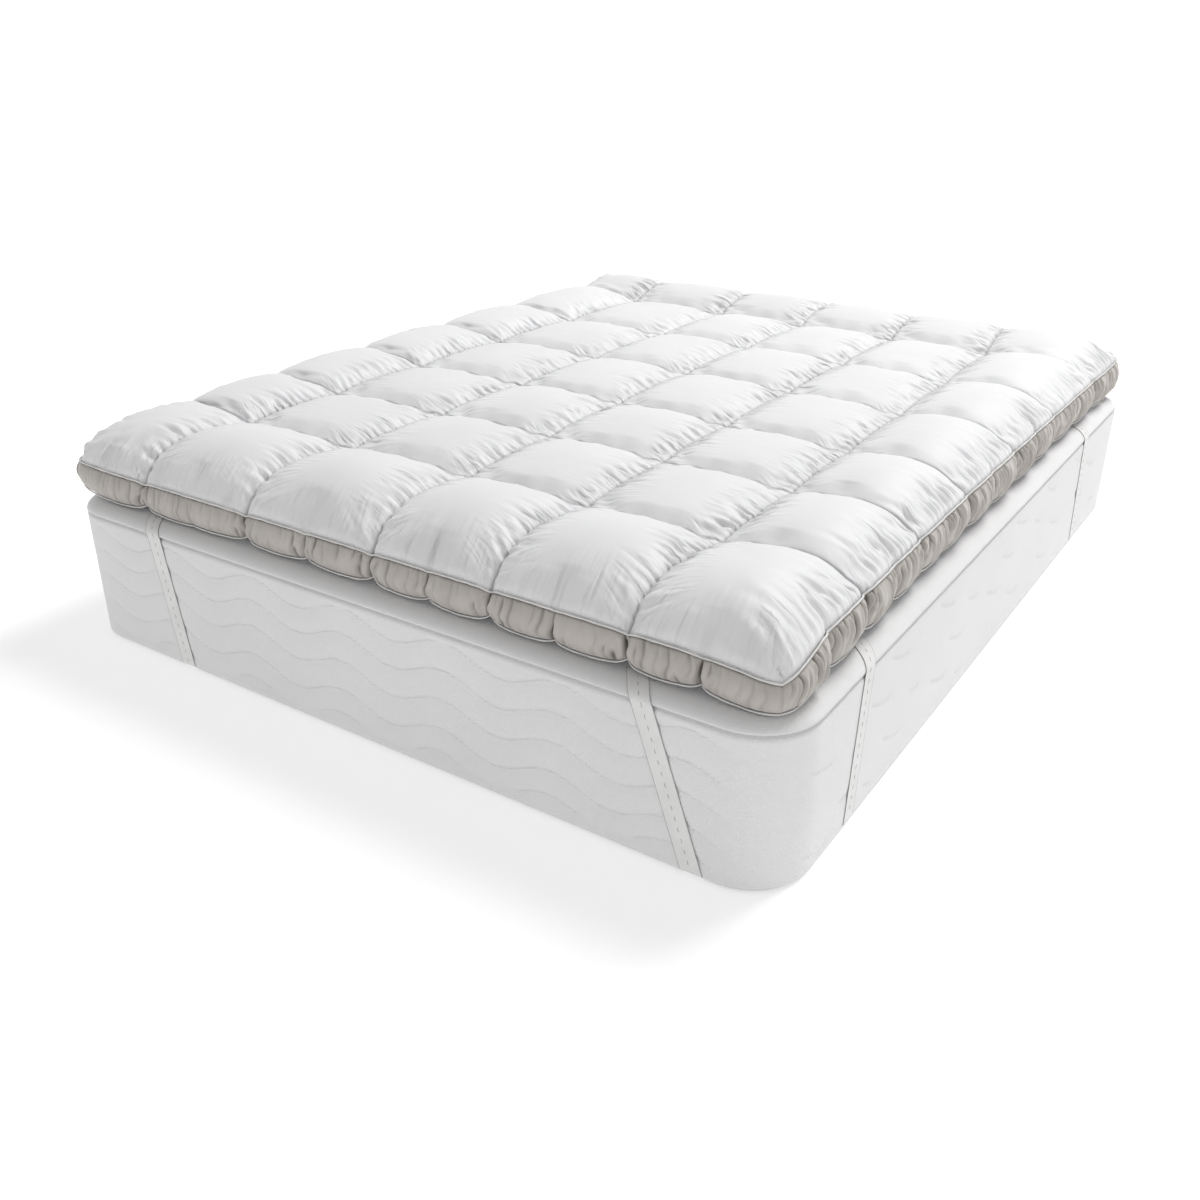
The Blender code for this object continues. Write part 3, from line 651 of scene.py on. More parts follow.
# %% [markdown]
# ## The band
# The band is one strip of grey-beige cloth that is longer than the rim, so it is gathered as it
# is sewn. It is laid as a thin sheet on the solid's puffs and tucks, and its gathers are then
# pressed in. On the front they are few and soft. On the right they are close and sharp, and
# each bends like an S between its two seams.

# %% Gathers of the band
BAND_STEPS = {"front": 176, "right": 176, "back": 88, "left": 88}   # to a box
BAND_LEVELS = np.linspace(1, 0, 19)    # shares of the way down, from the bottom seam up
GATHERS = {
    # side: metres between gathers, depth, half width, how far each sways, share in mid puff
    "front": (0.0170, 0.0046, 0.0040, 0.003, 0.50), "right": (0.0120, 0.0068, 0.0030, 0.005, 0.85),
    "back": (0.0210, 0.0030, 0.0050, 0.003, 0.40), "left": (0.0200, 0.0040, 0.0050, 0.004, 0.60),
}
TUCK_WIDTH, TUCK_DEPTH, SHORT_WIDTH, SHORT_DEPTH = 0.0050, 0.0080, 0.0036, 0.0032
BAND_SHEET, BAND_HEIGHT = 0.0012, 0.055


def press_fold(total, run, middle, half_width, depth):
    """Press one fold into the band: a sharp trough with a soft ridge on either side."""
    near = np.flatnonzero(np.abs(run - middle.mean()) < 0.045)
    aside = np.abs(run[None, near] - middle) / half_width
    total[:, near] += depth * (np.exp(-aside ** 1.4) - 0.45 * np.exp(-((aside - 2.0) / 0.9) ** 2))


def band_gathers(name, rim, shares):
    """How far the band is pressed in, at metres along it and shares of the way down."""
    pitch, depth, half_width, sway, mid_share = GATHERS[name]
    boxes, extra_tucks, run = SIDES[name][3], SIDES[name][5], rim["run"]
    down = shares[:, None]
    total = np.zeros((len(shares), len(run)))
    tucks = [(box, 1.0) for box in range(1, boxes)]
    tucks += [(box + 0.5, 0.6 * tuck) for box, tuck in enumerate(extra_tucks) if tuck > 0.35]
    tuck_runs = np.interp([place for place, _ in tucks], rim["at"], run)
    for middle, (_, strength) in zip(tuck_runs, tucks):
        lean = rng.normal(0, 0.003)
        press_fold(total, run, middle + lean * (down - 0.5), TUCK_WIDTH, TUCK_DEPTH * strength)
        for side in (-1, 1):               # short folds that fan out from the tuck's ends
            for end in (down, 1 - down):
                for k in range(int(rng.integers(1, 4))):
                    start = 0.009 + 0.011 * k + rng.uniform(-0.003, 0.003)
                    fan = side * (start + (0.006 + 0.004 * k) * end)
                    fade = np.exp(-(end / rng.uniform(0.3, 0.6)) ** 2)
                    press_fold(total, run, middle + fan, SHORT_WIDTH * rng.uniform(0.8, 1.3),
                               SHORT_DEPTH * strength * rng.uniform(0.5, 1.2) * fade)
    place = pitch / 2
    while place < run[-1]:
        lean = rng.normal(0, sway)
        middle = (place + lean * (down - 0.5)
                  + sway * np.sin(2 * math.pi * down + rng.uniform(-0.8, 0.8)))
        from_seam = down if rng.uniform() < 0.5 else 1 - down    # each starts at one of the seams
        ends = rng.uniform(0.5, 1.6)
        reach = 1 - smooth_step(ends - 0.45, ends, from_seam)
        off_tuck = np.min(np.abs(tuck_runs - place))
        share = mid_share + (1 - mid_share) * math.exp(-(off_tuck / 0.045) ** 2)
        press_fold(total, run, middle, half_width * rng.uniform(0.7, 1.5),
                   depth * rng.uniform(0.25, 1.15) * share * reach)
        place += pitch * rng.uniform(0.5, 1.5)
    return total


def rim_run(name, steps):
    """One side of the rim at even steps, with the way out and the metres along it."""
    rim = rim_side(name, np.arange(SIDES[name][3] * steps + 1) / steps)
    rim["outward"] = turned_out(np.gradient(rim["place"], axis=0))
    outward, way = (np.array(vector, dtype=float) for vector in SIDES[name][:2])
    for end, sign in ((0, -1), (-1, 1)):   # at a corner both sides share one mitred way out
        rim["outward"][end] = outward + sign * way
    rim["run"] = metres_along(rim["place"])
    return rim


def lay_band(name):
    rim = rim_run(name, BAND_STEPS[name])
    shares = BAND_LEVELS[:, None]
    upper = rim["top"] - PIPING_RADIUS - 2 * GAP
    lower = rim["bottom"] + LOWER_PIPING_RADIUS + 2 * GAP
    bulge = GUSSET_SLACK + GUSSET_BULGE * rim["full"]
    swelling = bulge * np.sin(math.pi * shares) ** GUSSET_ROUNDNESS
    pressed = band_gathers(name, rim, BAND_LEVELS)
    from_corner = np.minimum(rim["run"], rim["run"][-1] - rim["run"])
    pressed *= smooth_step(0.0, 0.03, from_corner)
    folded = np.clip(pressed / TUCK_WIDTH, 0, 1)
    pressed *= smooth_step(0, 0.12, np.minimum(shares, 1 - shares)) * 0.8 + 0.2
    out = GAP + GUSSET_CLOTH + swelling - pressed
    plan = rim["place"][None] + rim["outward"][None] * out[..., None]
    height = upper + (lower - upper) * shares
    band = add_grid(f"band_{name}", np.concatenate((plan, height[..., None]), axis=-1))
    # The fold depth, by which the band cotton paints shade into its folds.
    add_attribute(band, "fold", folded)
    uv = np.stack(np.broadcast_arrays(rim["run"], (1 - shares) * BAND_HEIGHT), axis=-1)
    add_uv(band, uv.reshape(-1, 2))
    band.data.shade_smooth()
    thicken(band, BAND_SHEET, -1)
    return band, float(rim["run"][-1])


bands = {}
for side_name in SIDES:
    bands[side_name], run_length = lay_band(side_name)
    print(f"band_{side_name}:", len(bands[side_name].data.polygons), "faces,",
          round(run_length, 3), "m long")

# %% [markdown]
# ## The pipings
# A piping is a cord in a bias strip of white cotton, sewn into the seam. A tube along the rim
# is enough, with a little waviness, because the stitches pull it in at every gather.

# %% Pipings
def lay_piping(name, level, radius, cord):
    rim = rim_ring(44)
    steps = np.arange(len(rim["at"]))
    wave = 0.0005 * np.sin(steps * 0.9) * np.sin(steps * 0.217)
    angles = -2 * math.pi * np.arange(8) / 8
    thick = cord * (1 + 0.06 * np.sin(steps * 1.3))
    out = radius + 2 * GAP + wave[:, None] + thick[:, None] * np.cos(angles)
    plan = rim["place"][:, None] + rim["outward"][:, None] * out[..., None]
    height = rim[level][:, None] + thick[:, None] * np.sin(angles)
    points = np.concatenate((plan, height[..., None]), axis=-1)
    points = np.concatenate((points, points[:1]))
    piping = add_grid(name, points, closed=True)
    edit_whole(piping, (bpy.ops.mesh.remove_doubles, {"threshold": 0.00001}))
    piping.data.shade_smooth()
    return piping


piping_over = lay_piping("piping_over_band", "top", PIPING_RADIUS, 0.0017)
piping_under = lay_piping("piping_under_band", "bottom", LOWER_PIPING_RADIUS, 0.0015)
print("pipings:", len(piping_over.data.polygons), "faces each")

# %% [markdown]
# ## The mattress
# The mattress has a quilted border with wavy lines, a taped seam near its top and a smooth roll
# above it. The border is a grid round the whole mattress, fine enough for its quilting lines to
# be pressed in as soft troughs. The long right side shows only stretches of each line.

# %% Shape of the mattress
MATTRESS_MIDDLE = np.array((0.028, -0.020))
MATTRESS_WIDTH, MATTRESS_LENGTH, MATTRESS_TOP, MATTRESS_CORNER = 1.600, 2.000, 0.288, 0.105
FOOT_RADIUS, ROLL_INSET, ROLL_RISE = 0.008, 0.035, 0.018
SEAM_LEVEL = MATTRESS_TOP - ROLL_RISE
WAVES_ROUND, WAVE_HEIGHT, A_CREST = 31, 0.0150, 3.232
WAVE_LEVELS = (0.238, 0.187, 0.134, 0.078, 0.029)
STAGGER = (0.0, 1.9, -2.5, -0.6, 1.3)  # of the lines along the long sides, in radians
LINE_DEPTH, LINE_REACH, FAR_OFF = 0.0014, 0.0095, 0.02
ROLL_TUCK, ROLL_TUCK_REACH = 0.0028, 0.007
GRID_STEP, WALL_STEP, FOOT_LIFT = 0.0095, 0.0039, 0.0019


def mattress_ring():
    """Plan points round the mattress, their way out and the metres along from the back left."""
    half = np.array((MATTRESS_WIDTH, MATTRESS_LENGTH)) / 2 - MATTRESS_CORNER
    places, ways = [], []
    for quarter, (sx, sy) in enumerate(((-1, 1), (-1, -1), (1, -1), (1, 1)), start=2):
        corner = MATTRESS_MIDDLE + half * (sx, sy)
        turns = math.pi / 2 * (quarter - 1 + np.arange(17) / 16)
        spokes = np.stack((np.cos(turns), np.sin(turns)), axis=-1)
        places.append(corner + spokes * MATTRESS_CORNER)
        ways.append(spokes)
        side = (half[1] if quarter % 2 == 0 else half[0]) * 2
        count = round(side / GRID_STEP)
        onwards = np.array((-spokes[-1][1], spokes[-1][0]))
        shares = np.arange(1, count)[:, None] / count
        places.append(places[-1][-1] + onwards * side * shares)
        ways.append(np.repeat(spokes[-1:], count - 1, axis=0))
    places = np.concatenate(places)
    return places, np.concatenate(ways), metres_along(places)


def mattress_levels():
    """Insets and heights from the foot up to the flat top."""
    turn = np.linspace(0, math.pi / 2, 5)
    foot = FOOT_RADIUS * np.column_stack((1 - np.sin(turn), 1 - np.cos(turn)))
    foot[:, 1] = FOOT_LIFT + foot[:, 1] * (FOOT_RADIUS - FOOT_LIFT) / FOOT_RADIUS
    wall = np.arange(FOOT_RADIUS + 0.0038, SEAM_LEVEL - 0.0110, WALL_STEP)
    wall = np.column_stack((np.zeros_like(wall), wall))
    seam = np.array(((0.0, -0.0095), (0.0008, -0.0065), (0.0028, -0.0035), (0.0058, -0.0014),
                     (0.0062, 0.0000), (0.0030, 0.0012)))
    seam[:, 1] += SEAM_LEVEL
    turn = np.linspace(0.10, math.pi / 2, 8)
    roll = np.column_stack((ROLL_INSET * (1 - np.cos(turn)), SEAM_LEVEL + ROLL_RISE * np.sin(turn)))
    flat = np.array(((0.05, MATTRESS_TOP), (0.075, MATTRESS_TOP), (0.1, MATTRESS_TOP)))
    return np.concatenate((foot, wall, seam, roll, flat))


def quilting(run, ways, height):
    """How far the border is pressed in by its wavy quilting lines, and how far off they are."""
    pressed = np.zeros((len(height), len(run)))
    nearest = np.full_like(pressed, FAR_OFF)
    once_round = run[-1] + run[-1] - run[-2]
    turn = 2 * math.pi * run / once_round        # every wave closes after one round
    long_side = np.abs(ways[:, 0])               # 1 on the long sides, 0 on the ends
    for k, level in enumerate(WAVE_LEVELS):
        waves = WAVES_ROUND * (turn - 2 * math.pi * (A_CREST - 0.006 * k) / once_round)
        waves += STAGGER[k] * long_side
        line = level + WAVE_HEIGHT * np.cos(waves) + 0.004 * np.sin(3 * turn + k)
        stretches = smooth_step(-0.1, 0.5, np.sin(waves - 0.5))
        stretches *= smooth_step(-0.9, -0.3, np.sin(9 * turn + 2.3 * k))
        strength = 1 - long_side * (1 - stretches)
        round_corner = smooth_step(0.05, 0.35, long_side) * (1 - smooth_step(0.85, 1.0, long_side))
        strength *= 1 - round_corner
        off = np.abs(height[:, None] - line[None])
        pressed += LINE_DEPTH * np.exp(-(off / LINE_REACH) ** 2) * strength[None]
        nearest = np.minimum(nearest, off + FAR_OFF * (1 - strength[None]))
    inside = smooth_step(0.012, 0.03, height) * (1 - smooth_step(0.255, 0.262, height))
    nearest /= 1 + 0.7 * long_side               # the short stretches are sewn harder
    return pressed * inside[:, None], nearest + FAR_OFF * (1 - inside[:, None])


def build_mattress():
    places, ways, run = mattress_ring()
    levels = mattress_levels()
    pressed, off_line = quilting(run, ways, levels[:, 1])
    on_roll = np.clip(levels[:, 0] / ROLL_INSET, 0, 1) * (levels[:, 1] > SEAM_LEVEL)
    tucks = np.zeros(len(run))
    place = 0.1
    while place < run[-1]:
        tucks += rng.uniform(0.3, 1.0) * np.exp(-((run - place) / ROLL_TUCK_REACH) ** 2)
        place += rng.uniform(0.10, 0.19)
    tucks *= 0.25 + 0.75 * np.abs(ways[:, 0])
    inset = levels[:, 0][:, None] + pressed
    tuck_depth = ROLL_TUCK * (np.sin(math.pi * on_roll) + 0.15 * (on_roll > 0))
    inset += tuck_depth[:, None] * tucks[None]
    plan = places[None] - ways[None] * inset[..., None]
    height = np.broadcast_to(levels[:, 1][:, None], inset.shape)
    points = np.concatenate((plan, height[..., None]), axis=-1)
    mattress = add_grid("mattress_border", points, closed=True)
    uv = np.stack((np.broadcast_to(run, inset.shape), height), axis=-1).reshape(-1, 2)
    add_uv(mattress, uv, once_round=2 * run[-1] - run[-2])
    # How far from a quilting line: for the lines' bump, and for a darker line that is partly thread
    # and partly painted shade.
    add_attribute(mattress, "off_line", off_line)
    # How far from the taped seam, by which shade is painted into the seam's crease.
    add_attribute(mattress, "off_seam", np.abs(height - SEAM_LEVEL - 0.0008))
    # The height over the floor, by which a contact shadow is painted along the foot.
    add_attribute(mattress, "off_floor", height)
    edit_whole(mattress, (bpy.ops.mesh.fill_holes, {"sides": 0}), TURN_OUT)
    mattress.data.shade_smooth()
    print("mattress:", len(mattress.data.polygons), "faces,", len(levels), "levels,",
          round(float(run[-1]), 2), "m round")
    return mattress


mattress = build_mattress()

# %% [markdown]
# ## The straps
# A strap is one flat elastic band. It comes from under the topper, bends over the roll, runs
# taut down the border and goes under the mattress, where both of its legs meet at a slant. Its
# path is the solid's, point by point, so that it lies on the cloth and turns under the foot.

# %% Paths of the straps
STRAP_WIDTH, STRAP_THICKNESS, STRAP_LIFT = 0.037, 0.0010, 0.0007
STRAP_TUCK, STRAP_BEND, STRAP_STEP = 0.006, 0.0113, 0.012
STRAPS = {
    # name: two legs of side, and places of the sewn end, at the taped seam and at the foot
    "front_left": (("front", -0.567, -0.522, -0.476), ("left", -0.676, -0.726, -0.750)),
    "front_right": (("front", 0.528, 0.565, 0.663), ("right", -0.676, -0.726, -0.750)),
    "back_right": (("right", 0.650, 0.600, 0.640), ("back", 0.528, 0.558, 0.600)),
    "back_left": (("left", 0.664, 0.706, 0.743), ("back", -0.567, -0.594, -0.640)),
}


def mattress_half(name):
    return (MATTRESS_LENGTH if name in ("front", "back") else MATTRESS_WIDTH) / 2


def leg_path(name):
    """Middle of the band down one side, as insets from the mattress's face and heights."""
    out = GAP + STRAP_THICKNESS / 2
    topper_half = (TOPPER_LENGTH if name in ("front", "back") else TOPPER_WIDTH) / 2
    inset = mattress_half(name) - topper_half
    inset -= float((TOPPER_MIDDLE - MATTRESS_MIDDLE) @ np.array(SIDES[name][0]))
    path = [np.array((inset + STRAP_TUCK, MATTRESS_TOP + out))]
    for turn in np.linspace(math.pi / 2, 0, 11):
        point = np.array((ROLL_INSET - (ROLL_INSET + out) * math.cos(turn),
                          SEAM_LEVEL + (ROLL_RISE + out) * math.sin(turn)))
        if point[0] >= path[0][0]:
            continue
        while len(path) > 1:
            before, after = path[-1] - path[-2], point - path[-1]
            if before[0] * after[1] - before[1] * after[0] > 0:
                break
            path.pop()
        path.append(point)
    low = STRAP_LIFT + STRAP_THICKNESS / 2
    for turn in np.radians(np.arange(0, 91, 10)):
        path.append(np.array((STRAP_BEND - (STRAP_BEND + out) * math.cos(turn),
                              STRAP_BEND + low - STRAP_BEND * math.sin(turn))))
    return path


def split_long_steps(path):
    fine = [path[0]]
    for before, after in zip(path, path[1:]):
        parts = max(1, math.ceil(np.linalg.norm(after - before) / STRAP_STEP))
        fine += [before + (after - before) * k / parts for k in range(1, parts + 1)]
    return fine


def side_point(name, inset, lateral, height):
    outward = np.array(SIDES[name][0], dtype=float)
    plan = MATTRESS_MIDDLE + outward * (mattress_half(name) - inset)
    plan = plan + np.abs(outward[::-1]) * lateral
    return np.array((*plan, height))


def leg_rows(leg, other_side):
    """Both edges of a leg at each point of its path, from its sewn end to under the mattress."""
    name, *places = leg
    path = split_long_steps(leg_path(name))
    run = metres_along(np.array(path))
    seam = int(np.argmin([abs(height - SEAM_LEVEL) for _, height in path]))
    laterals = np.interp(run, (0, run[seam], run[-1]), places)
    slant = (places[2] - places[1]) / (run[-1] - run[seam])
    to_corner = STRAP_WIDTH / 2 * math.sqrt(1 + slant ** 2) * sum(SIDES[other_side][0])
    rows = [(side_point(name, inset, lateral + to_corner, height),
             side_point(name, inset, lateral - to_corner, height))
            for (inset, height), lateral in zip(path, laterals)]
    onwards = side_point(name, 1, slant, 0) - side_point(name, 0, 0, 0)
    return rows, onwards


def crossing(first_point, first_way, second_point, second_way):
    offset = second_point - first_point
    divisor = first_way[0] * second_way[1] - first_way[1] * second_way[0]
    share = (offset[0] * second_way[1] - offset[1] * second_way[0]) / divisor
    return first_point + first_way * share


# %% Stitches of the straps
STITCH_SPACING, STITCH_LENGTH, STITCH_RADIUS, STITCH_SIDES = 0.0185, 0.0080, 0.00042, 6
STITCH_SHAPE = ((0.0, 0.35), (0.12, 0.9), (0.5, 1.0), (0.88, 0.9), (1.0, 0.35))   # share, thickness


def add_dashes(name, middles, ways_out):
    """A row of short thread stitches along a line that lies on a band."""
    lengths = metres_along(middles)

    def read(values, at):
        return np.array([np.interp(at, lengths, values[:, k]) for k in range(3)])

    vertices, faces = [], []
    for start in np.arange(0.012, lengths[-1] - STITCH_LENGTH, STITCH_SPACING):
        sections = []
        for share, thick in STITCH_SHAPE:
            at = start + share * STITCH_LENGTH
            centre, out = read(middles, at), read(ways_out, at)
            out /= np.linalg.norm(out)
            beside = np.cross(out, read(middles, at + 0.001) - centre)
            beside /= np.linalg.norm(beside)
            sections.append(range(len(vertices), len(vertices) + STITCH_SIDES))
            for k in range(STITCH_SIDES):
                turn = 2 * math.pi * k / STITCH_SIDES
                vertices.append(centre + thick * STITCH_RADIUS
                                * (1.3 * math.cos(turn) * beside + 0.8 * math.sin(turn) * out))
        for before, after in zip(sections, sections[1:]):
            faces += [(before[k - 1], before[k], after[k], after[k - 1])
                      for k in range(STITCH_SIDES)]
        faces += [tuple(sections[0])[::-1], tuple(sections[-1])]
    dashes = add_mesh(name, [tuple(vertex) for vertex in vertices], faces)
    dashes.data.shade_smooth()
    edit_whole(dashes, TURN_OUT)
    return dashes


def stitch_leg(name, rows, outward):
    """The row of stitches along one leg, as far down as it shows."""
    centres, across = rows.mean(axis=1), rows[:, 0] - rows[:, 1]
    out = np.cross(across, np.gradient(centres, axis=0))
    out *= np.sign(out @ outward + 1e-9)[:, None]
    out[out @ outward == 0] = (0, 0, 1)
    out /= np.linalg.norm(out, axis=1)[:, None]
    shown = centres[:, 2] > 0.012
    return add_dashes(name, (centres + out * (STRAP_THICKNESS / 2 + 0.0001))[shown], out[shown])


# %% Straps
ACROSS_STRAP = np.array((0, 0.04, 0.08, 0.25, 0.5, 0.75, 0.92, 0.96, 1))[:, None]


def build_strap(name, legs):
    halves = [leg_rows(legs[0], legs[1][0]), leg_rows(legs[1], legs[0][0])]
    ends = [(rows[-1], onwards) for rows, onwards in halves]
    mitre = tuple(crossing(ends[0][0][k], ends[0][1], ends[1][0][k], ends[1][1]) for k in (0, 1))
    chain = halves[0][0] + [mitre] + halves[1][0][::-1]
    points = np.array([first + (second - first) * ACROSS_STRAP for first, second in chain])
    band = add_grid(f"elastic_{name}", points)
    run = metres_along(points[:, len(ACROSS_STRAP) // 2])
    across = ACROSS_STRAP.T * STRAP_WIDTH
    add_uv(band, np.stack(np.broadcast_arrays(run[:, None], across), axis=-1).reshape(-1, 2))
    # How far each point is from an edge of the elastic, by which a thin shadow is painted along
    # both edges.
    add_attribute(band, "from_edge", np.minimum(across, STRAP_WIDTH - across) + 0 * run[:, None])
    thicken(band, STRAP_THICKNESS, 0)
    edit_whole(band, TURN_OUT)
    bpy.ops.object.shade_smooth_by_angle(angle=math.radians(40))
    stitches = [stitch_leg(f"stitches_{name}_{leg[0]}", np.array(rows),
                           np.array((*SIDES[leg[0]][0], 0), dtype=float))
                for (rows, _), leg in zip(halves, legs)]
    print(f"elastic_{name}:", round(float(run[-1]), 3), "m long")
    return band, stitches, float(run[-1])


straps = {name: build_strap(name, legs) for name, legs in STRAPS.items()}

# %% [markdown]
# ## Cloths
# All of the cloths are built from the same few shader nodes. Each one says what its weave is,
# how its colour drifts, how small creases that are too fine for the mesh catch the light, and
# where shade is painted into its colour.
# A weave is set in metres on Object coordinates, or on the piece's own UV map where it has to
# follow a strip that runs round the bed.

# %% A cloth material and its parts
SHINE, SHEEN_ROUGHNESS = 0.3, 0.4      # the same for every cloth


class Cloth:
    """A cloth's material, and the few kinds of node that its look is built from."""

    def __init__(self, name, colour, roughness, sheen):
        self.material = bpy.data.materials.new(name)
        self.material.use_nodes = True
        self.nodes, self.links = self.material.node_tree.nodes, self.material.node_tree.links
        self.shader = self.nodes["Principled BSDF"].inputs
        for socket, value in (("Base Color", (*colour, 1)), ("Roughness", roughness),
                              ("Specular IOR Level", SHINE), ("Sheen Weight", sheen),
                              ("Sheen Roughness", SHEEN_ROUGHNESS)):
            self.shader[socket].default_value = value

    def add(self, kind, settings, feeds):
        """A node with some of its sockets set, and others fed by other nodes."""
        node = self.nodes.new("ShaderNode" + kind)
        for socket, value in settings.items():
            node.inputs[socket].default_value = value
        for socket, source in feeds.items():
            self.links.new(source, node.inputs[socket])
        return node

    def place(self, source, scale, turn=0.0):
        """The coordinates of a texture, in repeats per metre along each way."""
        if source in ("Object", "UV"):
            coordinates = self.nodes.new("ShaderNodeTexCoord").outputs[source]
        else:
            uv_map = self.nodes.new("ShaderNodeUVMap")
            uv_map.uv_map = source
            coordinates = uv_map.outputs["UV"]
        settings = {"Scale": scale, "Rotation": (0, 0, turn)}
        return self.add("Mapping", settings, {"Vector": coordinates}).outputs["Vector"]

    def noise(self, source, scale, detail=2.0):
        settings = {"Scale": 1.0, "Detail": detail, "Roughness": 0.5}
        return self.add("TexNoise", settings, {"Vector": self.place(source, scale)}).outputs["Fac"]

    def threads(self, a_metre, direction, turn=0.0):
        """Parallel ridges on the UV map, so many a metre."""
        settings = {"Scale": 0.3142, "Distortion": 0.6, "Detail": 1.0}
        vector = self.place("UV", (a_metre, a_metre, 1), turn)
        texture = self.add("TexWave", settings, {"Vector": vector})
        texture.bands_direction = direction
        return texture.outputs["Fac"]

    def combine(self, first, second, operation='MULTIPLY'):
        node = self.nodes.new("ShaderNodeMath")
        node.operation = operation
        for socket, value in zip(node.inputs, (first, second)):
            if isinstance(value, float):
                socket.default_value = value
            else:
                self.links.new(value, socket)
        return node.outputs[0]

    def marked(self, name):
        """The numbers that the mesh holds under this name."""
        node = self.nodes.new("ShaderNodeAttribute")
        node.attribute_name = name
        return node.outputs["Fac"]

    def step(self, value, low, high):
        """A soft step from 0 to 1 between two values."""
        node = self.add("MapRange", {"From Min": low, "From Max": high}, {"Value": value})
        node.interpolation_type = 'SMOOTHSTEP'
        return node.outputs["Result"]

    def creases(self, mark, source, scale):
        """Rounded swellings with sharp creases between them, where the mesh is marked."""
        off = self.combine(self.noise(source, scale, detail=1.0), 0.5, 'SUBTRACT')
        folded = self.combine(self.combine(off, 0.0, 'ABSOLUTE'), 3.0)
        return self.combine(self.marked(mark), folded)

    def drift(self, source, scale, low, high):
        """Let the colour drift between two tones."""
        ramp = self.nodes.new("ShaderNodeValToRGB")
        for element, position, colour in zip(ramp.color_ramp.elements, (0.35, 0.65), (low, high)):
            element.position, element.color = position, (*colour, 1)
        self.links.new(self.noise(source, scale), ramp.inputs["Fac"])
        self.links.new(ramp.outputs["Color"], self.shader["Base Color"])

    def darken(self, share, dark):
        """Mix a dark colour into the base colour where the share is low: painted shade, and on the
        knit also the thread of the quilting lines.
        """
        colour = self.shader["Base Color"].links[0].from_socket
        mix = self.add("MixRGB", {"Color1": (*dark, 1)}, {"Fac": share, "Color2": colour})
        self.links.new(mix.outputs["Color"], self.shader["Base Color"])

    def bumps(self, *layers):
        """Stack bumps, each a height between 0 and 1, its depth in metres and its strength."""
        below = {}
        for height, depth, strength in layers:
            bump = self.add("Bump", {"Distance": depth, "Strength": strength},
                            {"Height": height, **below})
            below = {"Normal": bump.outputs["Normal"]}
        self.links.new(below["Normal"], self.shader["Normal"])


def give(obj, material):
    obj.data.materials.clear()
    obj.data.materials.append(material)


WEAVE = ("Object", (1500, 1500, 1500), 1.0)

# %% Down-proof cotton, with fine gathers beside its seams
cotton = Cloth("down_proof_cotton_white", (0.86, 0.86, 0.87), 0.54, 0.25)
cotton.drift("Object", (5, 5, 5), (0.705, 0.705, 0.712), (0.735, 0.735, 0.742))
patches = cotton.step(cotton.noise("Object", (13, 10, 10), detail=1.0), 0.36, 0.62)
side_gathers = cotton.combine(cotton.creases("pucker", "side_gathers", (12, 44, 1)), patches)
cotton.bumps((side_gathers, 0.0060, 1.0),
             (cotton.creases("fine_pucker", "side_gathers", (20, 140, 1)), 0.0017, 0.5),
             (cotton.creases("rim_pucker", "rim_gathers", (9, 50, 1)), 0.0042, 0.8),
             (cotton.noise("Object", (11, 17, 14)), 0.0046, 0.28),
             (cotton.noise(*WEAVE), 0.0001, 0.25))
# Painted shade: the cotton is darkened within a few millimetres of the channels between the boxes.
cotton.darken(cotton.step(cotton.marked("off_channel"), 0.0005, 0.0095), (0.48, 0.48, 0.49))
give(quilt, cotton.material)
print("cotton:", len(cotton.nodes), "shader nodes")

# %% Band cotton, its gathers running from seam to seam
band_cotton = Cloth("gusset_cotton_grey", (0.46, 0.43, 0.395), 0.6, 0.3)
band_cotton.drift("UV", (30, 6, 1), (0.425, 0.398, 0.370), (0.475, 0.446, 0.416))
band_cotton.bumps((band_cotton.noise("UV", (70, 9, 1), detail=1.0), 0.0040, 0.55),
                  (band_cotton.noise("UV", (210, 14, 1)), 0.0016, 0.5),
                  (band_cotton.noise(*WEAVE), 0.0001, 0.3))
# Painted shade: the band is darkened where its folds are pressed deepest.
unfolded = band_cotton.step(band_cotton.combine(band_cotton.marked("fold"), -1.0), -1.0, 0.0)
band_cotton.darken(unfolded, (0.18, 0.165, 0.15))
for band in bands.values():
    give(band, band_cotton.material)

# %% Piping cotton
piping_cotton = Cloth("piping_cotton_white", (0.80, 0.785, 0.765), 0.6, 0.15)
piping_cotton.drift("Object", (40, 40, 40), (0.60, 0.59, 0.575), (0.68, 0.67, 0.655))
piping_cotton.bumps((piping_cotton.noise("Object", (420, 420, 420), detail=1.0), 0.0004, 0.5))
give(piping_over, piping_cotton.material)
give(piping_under, piping_cotton.material)

# %% Elastic and the thread in it
elastic = Cloth("woven_elastic_white", (0.72, 0.715, 0.71), 0.7, 0.1)
elastic.drift("Object", (30, 30, 30), (0.72, 0.715, 0.71), (0.76, 0.755, 0.75))
# Painted shadow: a thin dark line along both edges of the elastic.
elastic.darken(elastic.step(elastic.marked("from_edge"), 0.0003, 0.0018), (0.36, 0.355, 0.35))
elastic.bumps((elastic.threads(900, 'X'), 0.0003, 0.5), (elastic.threads(450, 'Y'), 0.0003, 0.4))
thread = Cloth("stitch_thread_grey", (0.30, 0.30, 0.31), 0.6, 0.1)
thread.bumps((thread.noise("Object", (1200, 1200, 1200)), 0.0002, 0.5))
for band, stitches, _ in straps.values():
    give(band, elastic.material)
    for row_of_stitches in stitches:
        give(row_of_stitches, thread.material)

